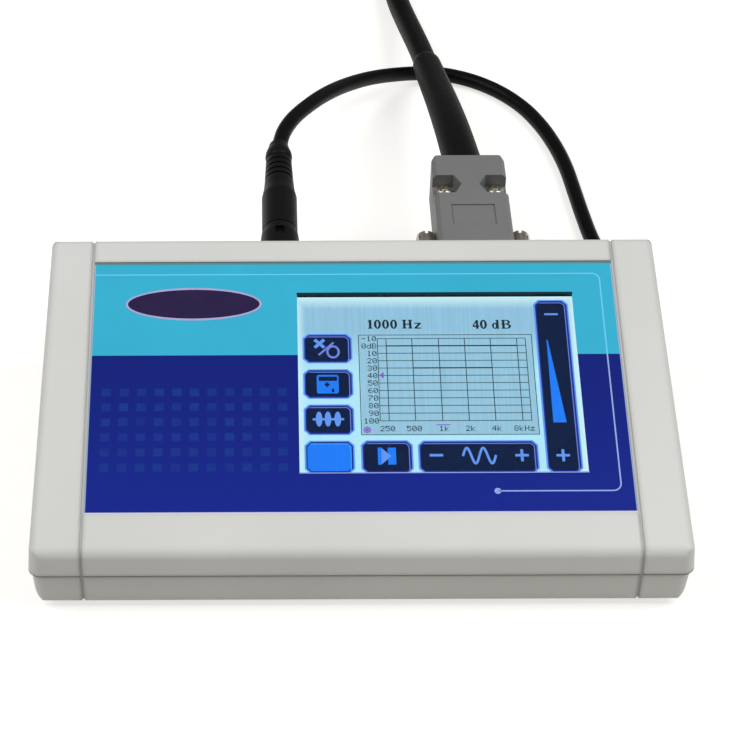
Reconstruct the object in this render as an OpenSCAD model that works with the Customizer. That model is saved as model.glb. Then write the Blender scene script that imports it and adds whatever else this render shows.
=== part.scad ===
// Table-top touch-screen audiometer: a low desk case with a sloped top, four
// clip-on side covers, a printed overlay with a screen window, two leads that
// leave its rear panel and a power switch beside them. Sizes in millimetres.
// X runs to the right, Y away from the user, Z up. Z = 0 is the table.

/* [Case] */

// Case width across the parting line
case_w = 159; // [152:1:180]
// Case depth from the front edge to the rear edge
case_d = 90.1; // [88:0.1:100]
// Height of the rubber feet under the case
foot_h = 1.5; // [1:0.1:3]
// Height of the lower half, case bottom to parting line
lower_h = 10.6; // [9.5:0.1:14]
// Height of the front face above the parting line
front_rise = 7.1; // [6.5:0.1:10]
// Slope of the top, degrees
slope = 14; // [13:0.5:16]
// Wall thickness of the shells and covers
wall = 2.5; // [2:0.1:2.8]
// Backward lean of the upper front face, degrees
front_lean = 7; // [2:1:9]
// Inward lean of the upper side faces, degrees
side_lean = 3.7; // [2:0.1:5]
// Inward lean of the lower front face, degrees
lower_front_lean = 3; // [1:0.5:5]
// Inward lean of the lower side faces, degrees
lower_side_lean = 4; // [2:0.5:6]
// Step from the upper half in to the lower half
lower_step = 0.6; // [0.3:0.1:1]
// Dark line between the two halves
parting_gap = 0.4; // [0.2:0.1:0.8]
// Rounding along the front edge of the top
nose_r = 3; // [2:0.5:4]
// Rounding along the side edges of the top
side_r = 2.5; // [1.5:0.5:3.5]
// Rounding of the upright corners
corner_r = 3; // [2:0.5:4]
// Rounding along the bottom edge at the sides
belly_r = 5; // [3:0.5:6]
// Rounding along the bottom edge at the front
keel_r = 2; // [1:0.5:3]
// Rounding of the rear edge of the top
rear_r = 0.5; // [0.5:0.5:2]

/* [Side covers] */

// Width of one side cover at the parting line
cover_w = 12.45; // [11:0.05:16]
// Groove between a cover and the shell
groove = 0.7; // [0.4:0.1:1.5]
// Thickness of a cover's lip over the shell's tongue
lip = 1.2; // [0.9:0.1:1.3]
// How far the shell's tongue reaches under a cover
tongue = 2.5; // [2:0.1:4]

/* [Overlay and screen] */

// Distance along the slope from the nose to the overlay
overlay_start = 10.75; // [10:0.25:14]
// Width of the strip of the top behind the overlay
overlay_back = 6.96; // [6:0.02:8]
// Thickness of the overlay foil
overlay_t = 0.3; // [0.2:0.1:0.5]
// Depth of the recess that holds the overlay
recess = 0.6; // [0.5:0.1:0.8]
// Distance from the upper shell's right edge to the screen's middle
window_side = 45.85; // [45.85:0.1:48.35]
// Distance along the slope from the rear edge to the screen's middle
window_back = 43.46; // [42.34:0.02:44.34]
// Width of the screen window
window_w = 70; // [66:0.5:71]
// Length of the screen window along the slope
window_l = 52.5; // [50:0.5:54]
// Depth of the touch panel's face below the overlay
glass_drop = 1; // [0.9:0.1:1.2]
// Width of the touch panel and the screen module
module_w = 77; // [76:0.5:77]
// Length of the touch panel and the screen module
module_l = 64; // [62:0.5:64]
// Thickness of the touch panel
touch_t = 1.1; // [0.8:0.1:1.2]
// Thickness of the foam gasket under the touch panel
gasket_t = 0.6; // [0.4:0.1:0.8]
// How far the screen's middle lies behind the middle of its module
module_shift = 3; // [2:0.5:3]
// Thickness of the screen glass
screen_t = 1.5; // [1.2:0.1:1.6]
// Thickness of the backlight
backlight_t = 1.5; // [1:0.1:1.8]

/* [Fasteners and feet] */

// Distance of the case bosses from the shell's side edges
boss_side = 3.35; // [3.05:0.05:3.35]
// Distance of the front case bosses from the front edge
boss_front = 8; // [7:0.5:8]
// Distance of the rear case bosses from the rear edge
boss_back = 8; // [8:0.5:9]
// Radius of a case boss
boss_r = 3; // [2.6:0.1:3]
// Shank radius of a case screw
screw_r = 1.2; // [1:0.1:1.5]
// Head radius of a case screw
screw_head_r = 2.5; // [2.2:0.1:2.7]
// Radius of a rubber foot
foot_r = 5; // [4:0.5:6]
// Distance of the feet from the shell's side edges
foot_side = 13.35; // [11.35:0.5:21.35]
// Distance of the feet from the front and rear edges
foot_inset = 13; // [10:1:18]

/* [Rear connectors] */

// Drop of the connectors' axes below the rear edge of the top
connector_drop = 14.15; // [13.9:0.05:14.5]
// Thickness of the rear panel
panel_t = 2; // [1.5:0.1:2.2]
// Position of the headset connector, right of the middle
socket_x = 33.2; // [30:0.1:36]
// Distance between the two jack posts of the connector
post_pitch = 25; // [25:0.1:25.4]
// Length of a jack post outside the panel
post_len = 5; // [5:0.1:6]
// Position of the power inlet, right of the middle
inlet_x = -18.5; // [-22:0.5:-16]
// Outer radius of the power plug's barrel
barrel_r = 2.75; // [2:0.05:2.75]
// Length of the power plug's barrel
barrel_len = 9.5; // [9:0.5:10]
// Distance of the power switch from the shell's left edge
switch_side = 20.35; // [18.35:0.5:24.35]
// Drop of the power switch's middle below the connectors' axes
switch_drop = 3.3; // [1.3:0.5:5.3]
// Tilt of the switch's rocker each way, degrees
rocker_tilt = 8; // [4:1:9]

/* [Headset lead] */

// Width of the connector hood
hood_w = 20; // [19:0.5:20]
// Thickness of the connector hood
hood_t = 15.4; // [15:0.1:16]
// Length of the connector hood behind the connector's flange
hood_len = 40; // [40:0.5:44]
// Depth of the two screw notches in the hood
notch_depth = 4.2; // [3:0.1:4.4]
// Head radius of a jackscrew
knob_r = 2.7; // [2.4:0.1:2.8]
// Head length of a jackscrew
knob_len = 8.4; // [6:0.1:10]
// Shank radius of a jackscrew
jackscrew_r = 1.4; // [1.2:0.05:1.4]
// Diameter of the headset cord
headset_d = 7; // [6:0.1:7.1]
// Radius of the sleeve where it leaves the hood
sleeve_r = 5.4; // [5:0.1:5.5]
// Radius of the sleeve at its far end
sleeve_tip_r = 4.2; // [3.8:0.1:4.8]
// Layers of the stored coil
coil_layers = 4; // [4]
// Middle radius of the stored coil
coil_r = 38.5; // [38:0.5:42]
// Turns of the coil in all
coil_turns = 6.75; // [6.75]
// Radius of the headset socket on the lead's far end
line_socket_r = 7.5; // [7:0.1:8]
// Bore radius of the headset socket
line_bore_r = 3.2; // [2.8:0.1:3.2]
// Bore depth of the headset socket
line_bore_len = 26.5; // [20:0.5:27]

/* [Power lead] */

// Diameter of the power cord
power_d = 4.4; // [4:0.1:4.5]
// Radius of the collar of the power plug
collar_r = 5.15; // [4.8:0.05:5.3]
// Radius of the grip of the power plug
grip_r = 4.8; // [4.4:0.1:4.8]
// Length of the runs of the stored hank
hank_run = 69; // [64:1:72]
// Runs of the stored hank in all
hank_runs = 7; // [7]
// Half width of the stored hank
hank_r = 18.6; // [18.6:0.1:19]
// Radius of the grip of the far power plug
far_grip_r = 4.9; // [4.6:0.1:5]

/* [Hidden] */

$fn = 72;

// Clearances
fit = 0.1;
slide_fit = 0.05;
air = 0.3;
// A fillet's arc stands this proud of the two faces it joins, so that it crosses them
blend = 0.02;
// Cutting shapes run this far past what they cut
over = 1;

shell_grey = "#D2D3D0";
dark_grey = "#7A7A78";
black = "#1C1C1D";
metal = "#B9BCC0";

// Heights and places of the case
bottom_z = foot_h;
part_z = foot_h + lower_h;
nose_back = front_rise * tan(front_lean);
nose_z = part_z + front_rise;
rear_z = nose_z + (case_d - nose_back) * tan(slope);
slope_len = (case_d - nose_back) / cos(slope);
connector_z = rear_z - connector_drop;
switch_z = connector_z - switch_drop;
panel_inset = lower_step + lip + fit;
post_reach = post_len - panel_inset;
front_y = -(case_d + post_reach) / 2;
rear_y = front_y + case_d;
half_w = case_w / 2;
cover_in = half_w - cover_w;
shell_half = cover_in - groove;
tongue_end = cover_in + tongue;
panel_y = rear_y - panel_inset;
inner_y = panel_y - panel_t;
boss_x = shell_half - boss_side;
foot_x = shell_half - foot_side;
switch_x = switch_side - shell_half;
overlay_len = slope_len - overlay_start - overlay_back;
// Cutting shapes reach this far to pass right through the case
through = case_d + rear_z;

upper_profile = [[0, part_z], [nose_back, nose_z], [case_d, rear_z], [case_d, part_z]];
lower_top = part_z - parting_gap;
lower_drop = lower_top - bottom_z;
keel_back = lower_step + lower_drop * tan(lower_front_lean);
lower_profile = [[lower_step, lower_top], [keel_back, bottom_z],
  [case_d - lower_step, bottom_z], [case_d - lower_step, lower_top]];
belly_half = half_w - lower_step - lower_drop * tan(lower_side_lean);

// ---------- outlines with round corners ----------

function unit(v) = v / norm(v);
function half_angle(a, b, c) = acos(max(-1, min(1, unit(a - b) * unit(c - b)))) / 2;
function tangent_point(b, c, reach) = b + unit(c - b) * reach;
function fillet_centre(a, b, c, r) = b + unit(unit(a - b) + unit(c - b)) * r / sin(half_angle(a, b, c));
function before(list, i) = list[(i + len(list) - 1) % len(list)];
function after(list, i) = list[(i + 1) % len(list)];

// A convex outline moved in by t on every side
function inset(points, t) = [for (i = [0:len(points) - 1])
  fillet_centre(before(points, i), points[i], after(points, i), t)];

// What a fillet of radius r takes off the corner b between a and c
module corner_cut(a, b, c, r) {
  centre = fillet_centre(a, b, c, r);
  reach = r / tan(half_angle(a, b, c));
  first = tangent_point(b, a, reach);
  last = tangent_point(b, c, reach);
  difference() {
    polygon([first, first + (first - centre) / 2, b + (b - centre), last + (last - centre) / 2, last]);
    translate(centre)
      circle(r = r + blend);
  }
}

// A convex outline with a radius for each corner
module rounded(points, radii) {
  difference() {
    polygon(points);
    for (i = [0:len(points) - 1])
      if (radii[i] > 0)
        corner_cut(before(points, i), points[i], after(points, i), radii[i]);
  }
}

module bar(low, high) {
  translate(low)
    cube(high - low);
}

// Draws an outline in Y and Z and runs it from x0 to x1
module along_x(x0, x1) {
  translate([x0, front_y, 0])
    rotate([90, 0, 90])
      linear_extrude(height = x1 - x0)
        children();
}

// Draws an outline in X and Z and runs it from y0 to y1
module along_y(y0, y1) {
  translate([0, y1, 0])
    rotate([90, 0, 0])
      linear_extrude(height = y1 - y0)
        children();
}

// A round bar along Y from y0 to y1
module rod_y(x, z, r, y0, y1, sides = 72) {
  translate([x, y1, z])
    rotate([90, 0, 0])
      cylinder(r = r, h = y1 - y0, $fn = sides);
}

// Puts its children on the sloped top: X across, Y up the slope from the nose, Z out of the top
module on_slope() {
  translate([0, front_y + nose_back, nose_z])
    rotate([slope, 0, 0])
      children();
}

// ---------- the case ----------

function front_view(low, low_half, high, high_half) =
  [[-low_half, low], [low_half, low], [high_half, high], [-high_half, high]];
function upper_half_at(z) = half_w - (z - part_z) * tan(side_lean);
function lower_half_at(z) = belly_half + (z - bottom_z) * tan(lower_side_lean);

// Takes the rounding off the long side edge of the sloped top
module side_edge_cut() {
  turn = atan(tan(side_lean) * sin(slope));
  lean = atan2(sin(side_lean) * cos(slope), norm([cos(side_lean), sin(side_lean) * sin(slope)]));
  translate([upper_half_at(nose_z), front_y + nose_back, nose_z])
    rotate([slope, 0, 0])
      rotate([0, 0, turn])
        rotate([90, 0, 0])
          translate([0, 0, -through])
            linear_extrude(height = 2 * through)
              corner_cut([-rear_z, 0], [0, 0], [rear_z * tan(lean), -rear_z], side_r);
}

// Takes the rounding off an upright corner where a front face that leans back by
// front_angle meets a side face that leans in by side_angle
module upright_cut(place, front_angle, side_angle, r) {
  tilt = asin(tan(front_angle) / norm([tan(side_angle), tan(front_angle), 1]));
  skew = atan2(sin(front_angle) * sin(side_angle),
    cos(front_angle) * cos(tilt) + sin(front_angle) * sin(tilt) * cos(side_angle));
  translate(place)
    rotate([-tilt, -side_angle, 0])
      translate([0, 0, -through])
        linear_extrude(height = 2 * through)
          corner_cut([0, rear_z], [0, 0], [-rear_z * cos(skew), -rear_z * sin(skew)], r);
}

module rear_upright_cut(place, side_angle, r) {
  translate([0, place[1], 0])
    mirror([0, 1, 0])
      translate([0, -place[1], 0])
        upright_cut(place, 0, side_angle, r);
}

// The inside of the upper half, moved in by t, open at the bottom
module upper_hollow(x0, x1, t, rear_open) {
  drop = t + 2;
  rear = rear_open ? case_d + t + over : case_d;
  rise = (rear - case_d) * tan(slope);
  along_x(x0, x1)
    polygon(inset([[-drop * tan(front_lean), part_z - drop], [nose_back, nose_z],
      [rear, rear_z + rise], [rear, part_z - drop]], t));
}

// The inside of the lower half, moved in by t, open at the top
module lower_hollow(x0, x1, t, rear_open) {
  rise = t + 2;
  rear = rear_open ? case_d + t + over : case_d - lower_step;
  along_x(x0, x1)
    polygon(inset([[lower_step - rise * tan(lower_front_lean), lower_top + rise], [keel_back, bottom_z],
      [rear, bottom_z], [rear, lower_top + rise]], t));
}

// A strip of the upper half, moved in by t under the top and behind the front
module upper_band(x0, x1, t) {
  intersection() {
    along_x(x0, x1)
      polygon(inset([[-t * tan(front_lean), part_z - t], [nose_back, nose_z], [case_d, rear_z],
        [case_d, part_z - t]], t));
    bar([x0 - over, front_y, part_z], [x1 + over, inner_y - fit, rear_z]);
  }
}

module lower_band(x0, x1, t) {
  intersection() {
    along_x(x0, x1)
      polygon(inset([[lower_step - t * tan(lower_front_lean), lower_top + t], [keel_back, bottom_z],
        [case_d - lower_step, bottom_z], [case_d - lower_step, lower_top + t]], t));
    bar([x0 - over, front_y, bottom_z], [x1 + over, inner_y - fit, lower_top]);
  }
}

boss_places = [for (x = [-boss_x, boss_x], y = [front_y + boss_front, rear_y - boss_back]) [x, y]];
foot_places = [for (x = [-foot_x, foot_x], y = [front_y + foot_inset, rear_y - foot_inset]) [x, y]];

// Places along the slope of the overlay, the screen and the board
glass_w = -recess + overlay_t - glass_drop;
gasket_w = glass_w - touch_t;
screen_w = gasket_w - gasket_t;
backlight_w = screen_w - screen_t;
tray_t = 0.5;
tray_side = 0.8;
tray_w = backlight_w - backlight_t;
board_gap = 2;
board_t = 1.6;
board_w = tray_w - tray_t - board_gap;
board_inset = 10.35;
board_left = board_inset - shell_half;
board_right = shell_half - 0.5;
board_low = 13;
board_back = 21.96;
board_high = slope_len - board_back;
board_mid = (board_low + board_high) / 2;
post_r = 2.5;
post_inset = 6;
post_front = 5;
post_back = 4;
post_places = [for (x = [board_left + post_inset, boss_x], v = [board_low + post_front, board_high - post_back])
  [x, v]];
board_screw_r = 1;
board_screw_head = 1.5;
pilot_len = 4;

module slab(centre, width, length, low, high) {
  translate([centre[0] - width / 2, centre[1] - length / 2, low])
    cube([width, length, high - low]);
}

window_at = [shell_half - window_side, slope_len - window_back];
module_right = boss_x - boss_r - tray_side - 2 * fit;
module_at = [module_right - module_w / 2, window_at[1] - module_shift];
gasket_side = 2.5;
gasket_front = 7.75;
gasket_back = 1.75;
gasket_hole = [module_w - 2 * gasket_side, module_l - gasket_front - gasket_back];
gasket_hole_at = module_at + [0, (gasket_front - gasket_back) / 2];

// The slot that holds the rear panel, cut into a shell
module panel_slot() {
  bar([-tongue_end - over, inner_y - fit, bottom_z + wall / 2], [tongue_end + over, panel_y + fit, panel_top()]);
}

function top_z_at(y) = nose_z + (y - front_y - nose_back) * tan(slope);
function panel_top() = top_z_at(inner_y) - wall / cos(slope) + wall / 2;

module upper_shell() color(shell_grey) {
  difference() {
    union() {
      difference() {
        along_x(-shell_half, shell_half)
          rounded(upper_profile, [0, nose_r, rear_r, 0]);
        upper_hollow(-shell_half - over, shell_half + over, wall, true);
      }
      for (side = [0, 1])
        mirror([side, 0, 0])
          difference() {
            upper_band(shell_half - over, tongue_end, lip + fit);
            upper_hollow(0, tongue_end + over, wall, true);
          }
      intersection() {
        for (p = boss_places)
          translate([p[0], p[1], part_z])
            cylinder(r = boss_r, h = rear_z - part_z);
        along_x(-shell_half, shell_half)
          polygon(inset([[0, part_z - wall / 2], [nose_back, nose_z], [case_d, rear_z],
            [case_d, part_z - wall / 2]], wall / 2));
      }
      on_slope()
        for (p = post_places)
          translate([p[0], p[1], board_w])
            cylinder(r = post_r, h = -board_w - wall / 2);
    }
    on_slope() {
      bar([-shell_half - over, overlay_start, -recess], [shell_half + over, overlay_start + overlay_len, over]);
      slab(window_at, window_w + 1, window_l + 1, -wall - over, over);
      slab(module_at, module_w + 2 * fit, module_l + 2 * fit, -wall - over, glass_w);
      for (p = post_places)
        translate([p[0], p[1], board_w - over])
          cylinder(r = board_screw_r + slide_fit, h = pilot_len + over);
    }
    for (p = boss_places)
      translate([p[0], p[1], part_z - over])
        cylinder(r = screw_r + slide_fit, h = front_rise - recess + over);
    panel_slot();
  }
}

screw_sink = 1.9;
rim_t = 1.2;
rim_rise = 1.5;

module lower_shell() color(shell_grey) {
  rim_y = front_y + wall / cos(front_lean) + rim_rise * tan(front_lean) + fit;
  difference() {
    union() {
      difference() {
        along_x(-shell_half, shell_half)
          rounded(lower_profile, [0, keel_r, rear_r, 0]);
        lower_hollow(-shell_half - over, shell_half + over, wall, true);
      }
      for (side = [0, 1])
        mirror([side, 0, 0])
          difference() {
            lower_band(shell_half - over, tongue_end, lip + fit);
            lower_hollow(0, tongue_end + over, wall, true);
          }
      for (p = boss_places)
        translate([p[0], p[1], bottom_z + wall / 2])
          cylinder(r = boss_r, h = part_z - bottom_z - wall / 2);
      bar([-boss_x + boss_r, rim_y, lower_top - over], [boss_x - boss_r, rim_y + rim_t, part_z + rim_rise]);
      bar([-boss_x + boss_r, rim_y - over, lower_top - 2 * over],
        [boss_x - boss_r, rim_y + rim_t, lower_top - fit]);
    }
    for (p = boss_places)
      translate([p[0], p[1], bottom_z - over]) {
        cylinder(r = screw_head_r + fit, h = screw_sink + over);
        cylinder(r = screw_r + fit, h = lower_h + 2 * over);
      }
    panel_slot();
  }
}

module rear_panel() color(shell_grey) {
  difference() {
    bar([-tongue_end + fit, inner_y, bottom_z + wall / 2 + fit], [tongue_end - fit, panel_y, panel_top() - fit]);
    socket_outline_cut(socket_hole_w, socket_hole_h);
    for (side = [-1, 1])
      rod_y(socket_x + side * post_pitch / 2, connector_z, post_stud_r + fit, inner_y - over, panel_y + over);
    rod_y(inlet_x, connector_z, inlet_nose_r + fit, inner_y - over, panel_y + over);
    bar([switch_x - switch_w / 2 - fit, inner_y - over, switch_z - switch_h / 2 - fit],
      [switch_x + switch_w / 2 + fit, panel_y + over, switch_z + switch_h / 2 + fit]);
  }
}

// The right one of a pair; the left one is its mirror image
module upper_cover() {
  difference() {
    intersection() {
      along_x(cover_in, half_w + over)
        rounded(upper_profile, [0, nose_r, rear_r, 0]);
      along_y(front_y - over, rear_y + over)
        polygon(front_view(part_z - over, upper_half_at(part_z - over), rear_z + over, upper_half_at(rear_z + over)));
    }
    side_edge_cut();
    upright_cut([half_w, front_y, part_z], front_lean, side_lean, corner_r);
    rear_upright_cut([half_w, rear_y, part_z], side_lean, rear_r);
    upper_hollow(cover_in - over, tongue_end + fit, lip, false);
    intersection() {
      upper_hollow(cover_in - over, half_w, wall, false);
      along_y(front_y, rear_y)
        polygon(front_view(part_z - over, upper_half_at(part_z - over) - wall, rear_z, upper_half_at(rear_z) - wall));
    }
  }
}

module lower_cover() {
  difference() {
    intersection() {
      along_x(cover_in, half_w + over)
        rounded(lower_profile, [0, keel_r, rear_r, 0]);
      along_y(front_y - over, rear_y + over)
        polygon(front_view(bottom_z - over, lower_half_at(bottom_z - over), part_z, lower_half_at(part_z)));
    }
    along_y(front_y - over, rear_y + over)
      corner_cut([0, bottom_z], [belly_half, bottom_z], [lower_half_at(part_z), part_z], belly_r);
    upright_cut([belly_half, front_y + keel_back, bottom_z], -lower_front_lean, -lower_side_lean, corner_r);
    rear_upright_cut([belly_half, rear_y - lower_step, bottom_z], -lower_side_lean, rear_r);
    lower_hollow(cover_in - over, tongue_end + fit, lip, false);
    intersection() {
      lower_hollow(cover_in - over, half_w, wall, false);
      along_y(front_y, rear_y)
        rounded(front_view(bottom_z, belly_half - wall, part_z, lower_half_at(part_z) - wall),
          [0, belly_r - wall, 0, 0]);
    }
  }
}

module upper_left_cover() color(shell_grey) mirror([1, 0, 0]) upper_cover();
module upper_right_cover() color(shell_grey) upper_cover();
module lower_left_cover() color(shell_grey) mirror([1, 0, 0]) lower_cover();
module lower_right_cover() color(shell_grey) lower_cover();

module rubber_feet() color(black) {
  for (p = foot_places)
    translate([p[0], p[1], 0])
      cylinder(r = foot_r, h = foot_h);
}

module case_screws() color(metal) {
  head_h = screw_sink - fit;
  for (p = boss_places)
    translate([p[0], p[1], bottom_z])
      difference() {
        union() {
          translate([0, 0, fit])
            cylinder(r = screw_head_r, h = head_h);
          translate([0, 0, fit])
            cylinder(r = screw_r, h = lower_h + front_rise - recess - over);
        }
        for (turn = [0, 90])
          rotate([0, 0, turn])
            translate([-screw_head_r / 2, -0.3, -over])
              cube([screw_head_r, 0.6, over + head_h / 2]);
      }
}

// ---------- overlay, screen and boards ----------

module front_overlay() color("#243494") on_slope() {
  difference() {
    bar([-shell_half + fit, overlay_start + fit, -recess],
      [shell_half - fit, overlay_start + overlay_len - fit, -recess + overlay_t]);
    slab(window_at, window_w, window_l, -recess - over, over);
  }
}

module touch_panel() color("#BFE3EC", 0.4) on_slope()
  slab(module_at, module_w, module_l, gasket_w, glass_w);

module screen_gasket() color(black) on_slope()
  difference() {
    slab(module_at, module_w, module_l, screen_w, gasket_w);
    slab(gasket_hole_at, gasket_hole[0], gasket_hole[1], screen_w - over, gasket_w + over);
  }

module screen_glass() color("#8FB4D8") on_slope()
  slab(module_at, module_w, module_l, backlight_w, screen_w);

module screen_backlight() color("white") on_slope()
  slab(module_at, module_w - 1, module_l - 1, tray_w, backlight_w);

// The metal tray that holds the glass and the backlight against the roof of the shell
module screen_frame() color(metal) on_slope()
  difference() {
    slab(module_at, module_w + 2 * (tray_side + fit), module_l + 2 * (tray_side + fit), tray_w - tray_t, -wall);
    slab(module_at, module_w + 2 * fit, module_l + 2 * fit, tray_w, over);
  }

module main_board() color("#1F6B3A") on_slope()
  difference() {
    bar([board_left, board_low, board_w - board_t], [board_right, board_high, board_w]);
    for (p = post_places)
      translate([p[0], p[1], board_w - board_t - over])
        cylinder(r = board_screw_r + fit, h = board_t + 2 * over);
  }

module board_screws() color(metal) on_slope()
  for (p = post_places)
    translate([p[0], p[1], board_w - board_t]) {
      translate([0, 0, -board_screw_head])
        cylinder(r = 2 * board_screw_r, h = board_screw_head);
      translate([0, 0, -board_screw_head])
        cylinder(r = board_screw_r, h = board_screw_head + board_t + pilot_len - fit);
    }

module chip(place, size, height) {
  translate([place[0] - size / 2, place[1] - size / 2, board_w - board_t - height])
    cube([size, size, height]);
}

processor_size = 14;
processor_t = 1.4;
processor_at = [window_at[0] - 10.5, board_mid + 2.5];
audio_size = 7;
audio_t = 1;
audio_at = [board_left + 28, board_mid + 10.5];
capacitor_r = 3;
capacitor_h = 6;
capacitor_pitch = 10;
capacitor_at = [board_left + 22, board_mid - 7.5];

module processor_chip() color(black) on_slope() chip(processor_at, processor_size, processor_t);
module audio_chip() color(black) on_slope() chip(audio_at, audio_size, audio_t);
module filter_capacitors() color(dark_grey) on_slope()
  for (k = [0, 1])
    translate([capacitor_at[0] + k * capacitor_pitch, capacitor_at[1], board_w - board_t - capacitor_h])
      cylinder(r = capacitor_r, h = capacitor_h);

// ---------- rear connectors ----------

flange_t = 0.8;
flange_w = 30.8;
flange_h = 12.5;
shell_len = 6;
shell_w = 16.3;
shell_h = 7.9;
socket_hole_w = 17;
socket_hole_h = 8.6;
socket_body_len = 7;
socket_body_h = 8.4;
post_stud_r = 1.5;
post_head_r = 2.75;
inlet_nose_r = 4;
inlet_len = 13;
inlet_half = 4.5;
inlet_drop = 5.5;
inlet_top = 2.9;
inlet_collar_t = 3;
inlet_collar_top = 4.5;
pin_r = 1;
switch_w = 19;
switch_h = 13;
bezel_w = 21;
bezel_h = 15;
bezel_t = 1.6;
io_y = inner_y - flange_t - socket_body_len;

// The connector's outline, wider at the top, with round corners
module socket_outline(w, h) {
  slant = h * tan(10) / 2;
  translate([socket_x, connector_z])
    rounded([[-w / 2 + slant, -h / 2], [w / 2 - slant, -h / 2], [w / 2 + slant, h / 2], [-w / 2 - slant, h / 2]],
      [2, 2, 2, 2]);
}

module socket_outline_cut(w, h) {
  along_y(inner_y - over, panel_y + over)
    socket_outline(w, h);
}

module flange_plate(y0) {
  difference() {
    bar([socket_x - flange_w / 2, y0, connector_z - flange_h / 2],
      [socket_x + flange_w / 2, y0 + flange_t, connector_z + flange_h / 2]);
    for (side = [-1, 1])
      rod_y(socket_x + side * post_pitch / 2, connector_z, post_stud_r + fit, y0 - over, y0 + flange_t + over);
  }
}

module headset_connector() color(metal) {
  flange_y = inner_y - flange_t;
  flange_plate(flange_y);
  along_y(flange_y, inner_y + shell_len)
    socket_outline(shell_w, shell_h);
  bar([socket_x - shell_w / 2, io_y, connector_z - socket_body_h / 2],
    [socket_x + shell_w / 2, flange_y, connector_z + socket_body_h / 2]);
}

module jack_posts() color(metal) {
  for (side = [-1, 1])
    difference() {
      union() {
        rod_y(socket_x + side * post_pitch / 2, connector_z, post_head_r, panel_y, panel_y + post_len, 6);
        rod_y(socket_x + side * post_pitch / 2, connector_z, post_stud_r, inner_y - flange_t, panel_y + over);
      }
      rod_y(socket_x + side * post_pitch / 2, connector_z, jackscrew_r + slide_fit,
        panel_y, panel_y + post_len + over);
    }
}

module power_inlet() color(black) {
  difference() {
    union() {
      bar([inlet_x - inlet_half, inner_y - inlet_len, connector_z - inlet_drop],
        [inlet_x + inlet_half, inner_y, connector_z + inlet_top]);
      bar([inlet_x - inlet_half, inner_y - inlet_collar_t, connector_z - inlet_drop],
        [inlet_x + inlet_half, inner_y, connector_z + inlet_collar_top]);
      rod_y(inlet_x, connector_z, inlet_nose_r, inner_y - over, panel_y);
    }
    rod_y(inlet_x, connector_z, barrel_r + slide_fit, panel_y - barrel_len - over, panel_y + over);
  }
  rod_y(inlet_x, connector_z, pin_r, panel_y - barrel_len - 2 * over, panel_y - 2 * over);
}

io_start = 6;
io_side = 8;
io_lift = 3;
io_rise = 3;

module io_board() color("#1F6B3A") {
  bar([inlet_x + io_start, io_y - board_t, bottom_z + wall + io_lift],
    [shell_half - io_side, io_y, connector_z + io_rise]);
}

ribbon_back = 6;
ribbon_t = 0.4;
ribbon_start = 14.5;
ribbon_w = 20;
ribbon_drop = 9;

// Bends down from the main board to the io board
module ribbon_cable() color("#C9C4B4") {
  v = board_high - ribbon_back;
  top = [nose_back + v * cos(slope) - (board_w - board_t) * sin(slope),
    nose_z + v * sin(slope) + (board_w - board_t) * cos(slope)];
  end_y = io_y - board_t - front_y;
  foot = top[1] - ribbon_drop;
  along_x(inlet_x + ribbon_start, inlet_x + ribbon_start + ribbon_w)
    polygon([top, top + [-ribbon_t, -ribbon_t * tan(slope)], [top[0] - ribbon_t, foot], [end_y, foot],
      [end_y, foot + ribbon_t], [top[0], foot + ribbon_t]]);
}

pivot_y = panel_y - 2.2;
switch_len = 12;
switch_well = 9;
rocker_half = 7;
rocker_h = 8.8;
rocker_gap = 0.4;
rocker_pin_r = 1;
rocker_pin_len = 1.5;

module switch_housing() color(black) {
  opening = rocker_half + 1.2;
  difference() {
    union() {
      bar([switch_x - switch_w / 2, panel_y - switch_len, switch_z - switch_h / 2],
        [switch_x + switch_w / 2, panel_y + fit, switch_z + switch_h / 2]);
      bar([switch_x - bezel_w / 2, panel_y, switch_z - bezel_h / 2],
        [switch_x + bezel_w / 2, panel_y + bezel_t, switch_z + bezel_h / 2]);
    }
    bar([switch_x - opening, panel_y - switch_well, switch_z - rocker_h / 2 - rocker_gap],
      [switch_x + opening, panel_y + bezel_t + over, switch_z + rocker_h / 2 + rocker_gap]);
    translate([switch_x, pivot_y, switch_z - rocker_h / 2 - rocker_pin_len - fit])
      cylinder(r = rocker_pin_r + slide_fit, h = rocker_h + 2 * (rocker_pin_len + fit));
  }
}

// The rocker's section seen from above, level: two finger faces over a keel
rocker_section = [[-rocker_half, 4.4], [0, 3.4], [rocker_half, 4.4], [rocker_half - 0.4, 0.4],
  [2, -2], [0, -4.2], [-2, -2], [-rocker_half + 0.4, 0.4]];

module switch_rocker() color("#2A2A2B") {
  translate([switch_x, pivot_y, switch_z])
    rotate([0, 0, rocker_tilt]) {
      translate([0, 0, -rocker_h / 2])
        linear_extrude(height = rocker_h)
          polygon(rocker_section);
      translate([0, 0, -rocker_h / 2 - rocker_pin_len])
        cylinder(r = rocker_pin_r, h = rocker_h + 2 * rocker_pin_len);
    }
}

// ---------- the plug of the headset lead ----------

plug_face = panel_y + post_len;
hood_start = plug_face + flange_t;
hood_end = hood_start + hood_len;
ear_len = 5;
ear_half = 15.75;
ring_w = 18;
ring_h = 9.5;
plug_body_w = 17;
plug_body_h = 8.6;
plug_body_len = 8;
channel_half = 3.6;
notch_start = hood_start + 23.7;
notch_len = 7.5;
notch_point = 2.4;
hood_screw_x = 6.9;
hood_screw_y = notch_start + 4.8;
hood_screw_r = 1;
hood_screw_head_r = 2.3;
pad_w = 11.6;
pad_len = 8.5;
pad_start = 10.1;
hood_edge = 1.1;
pad_depth = 0.4;
sleeve_seat = 4;

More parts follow.
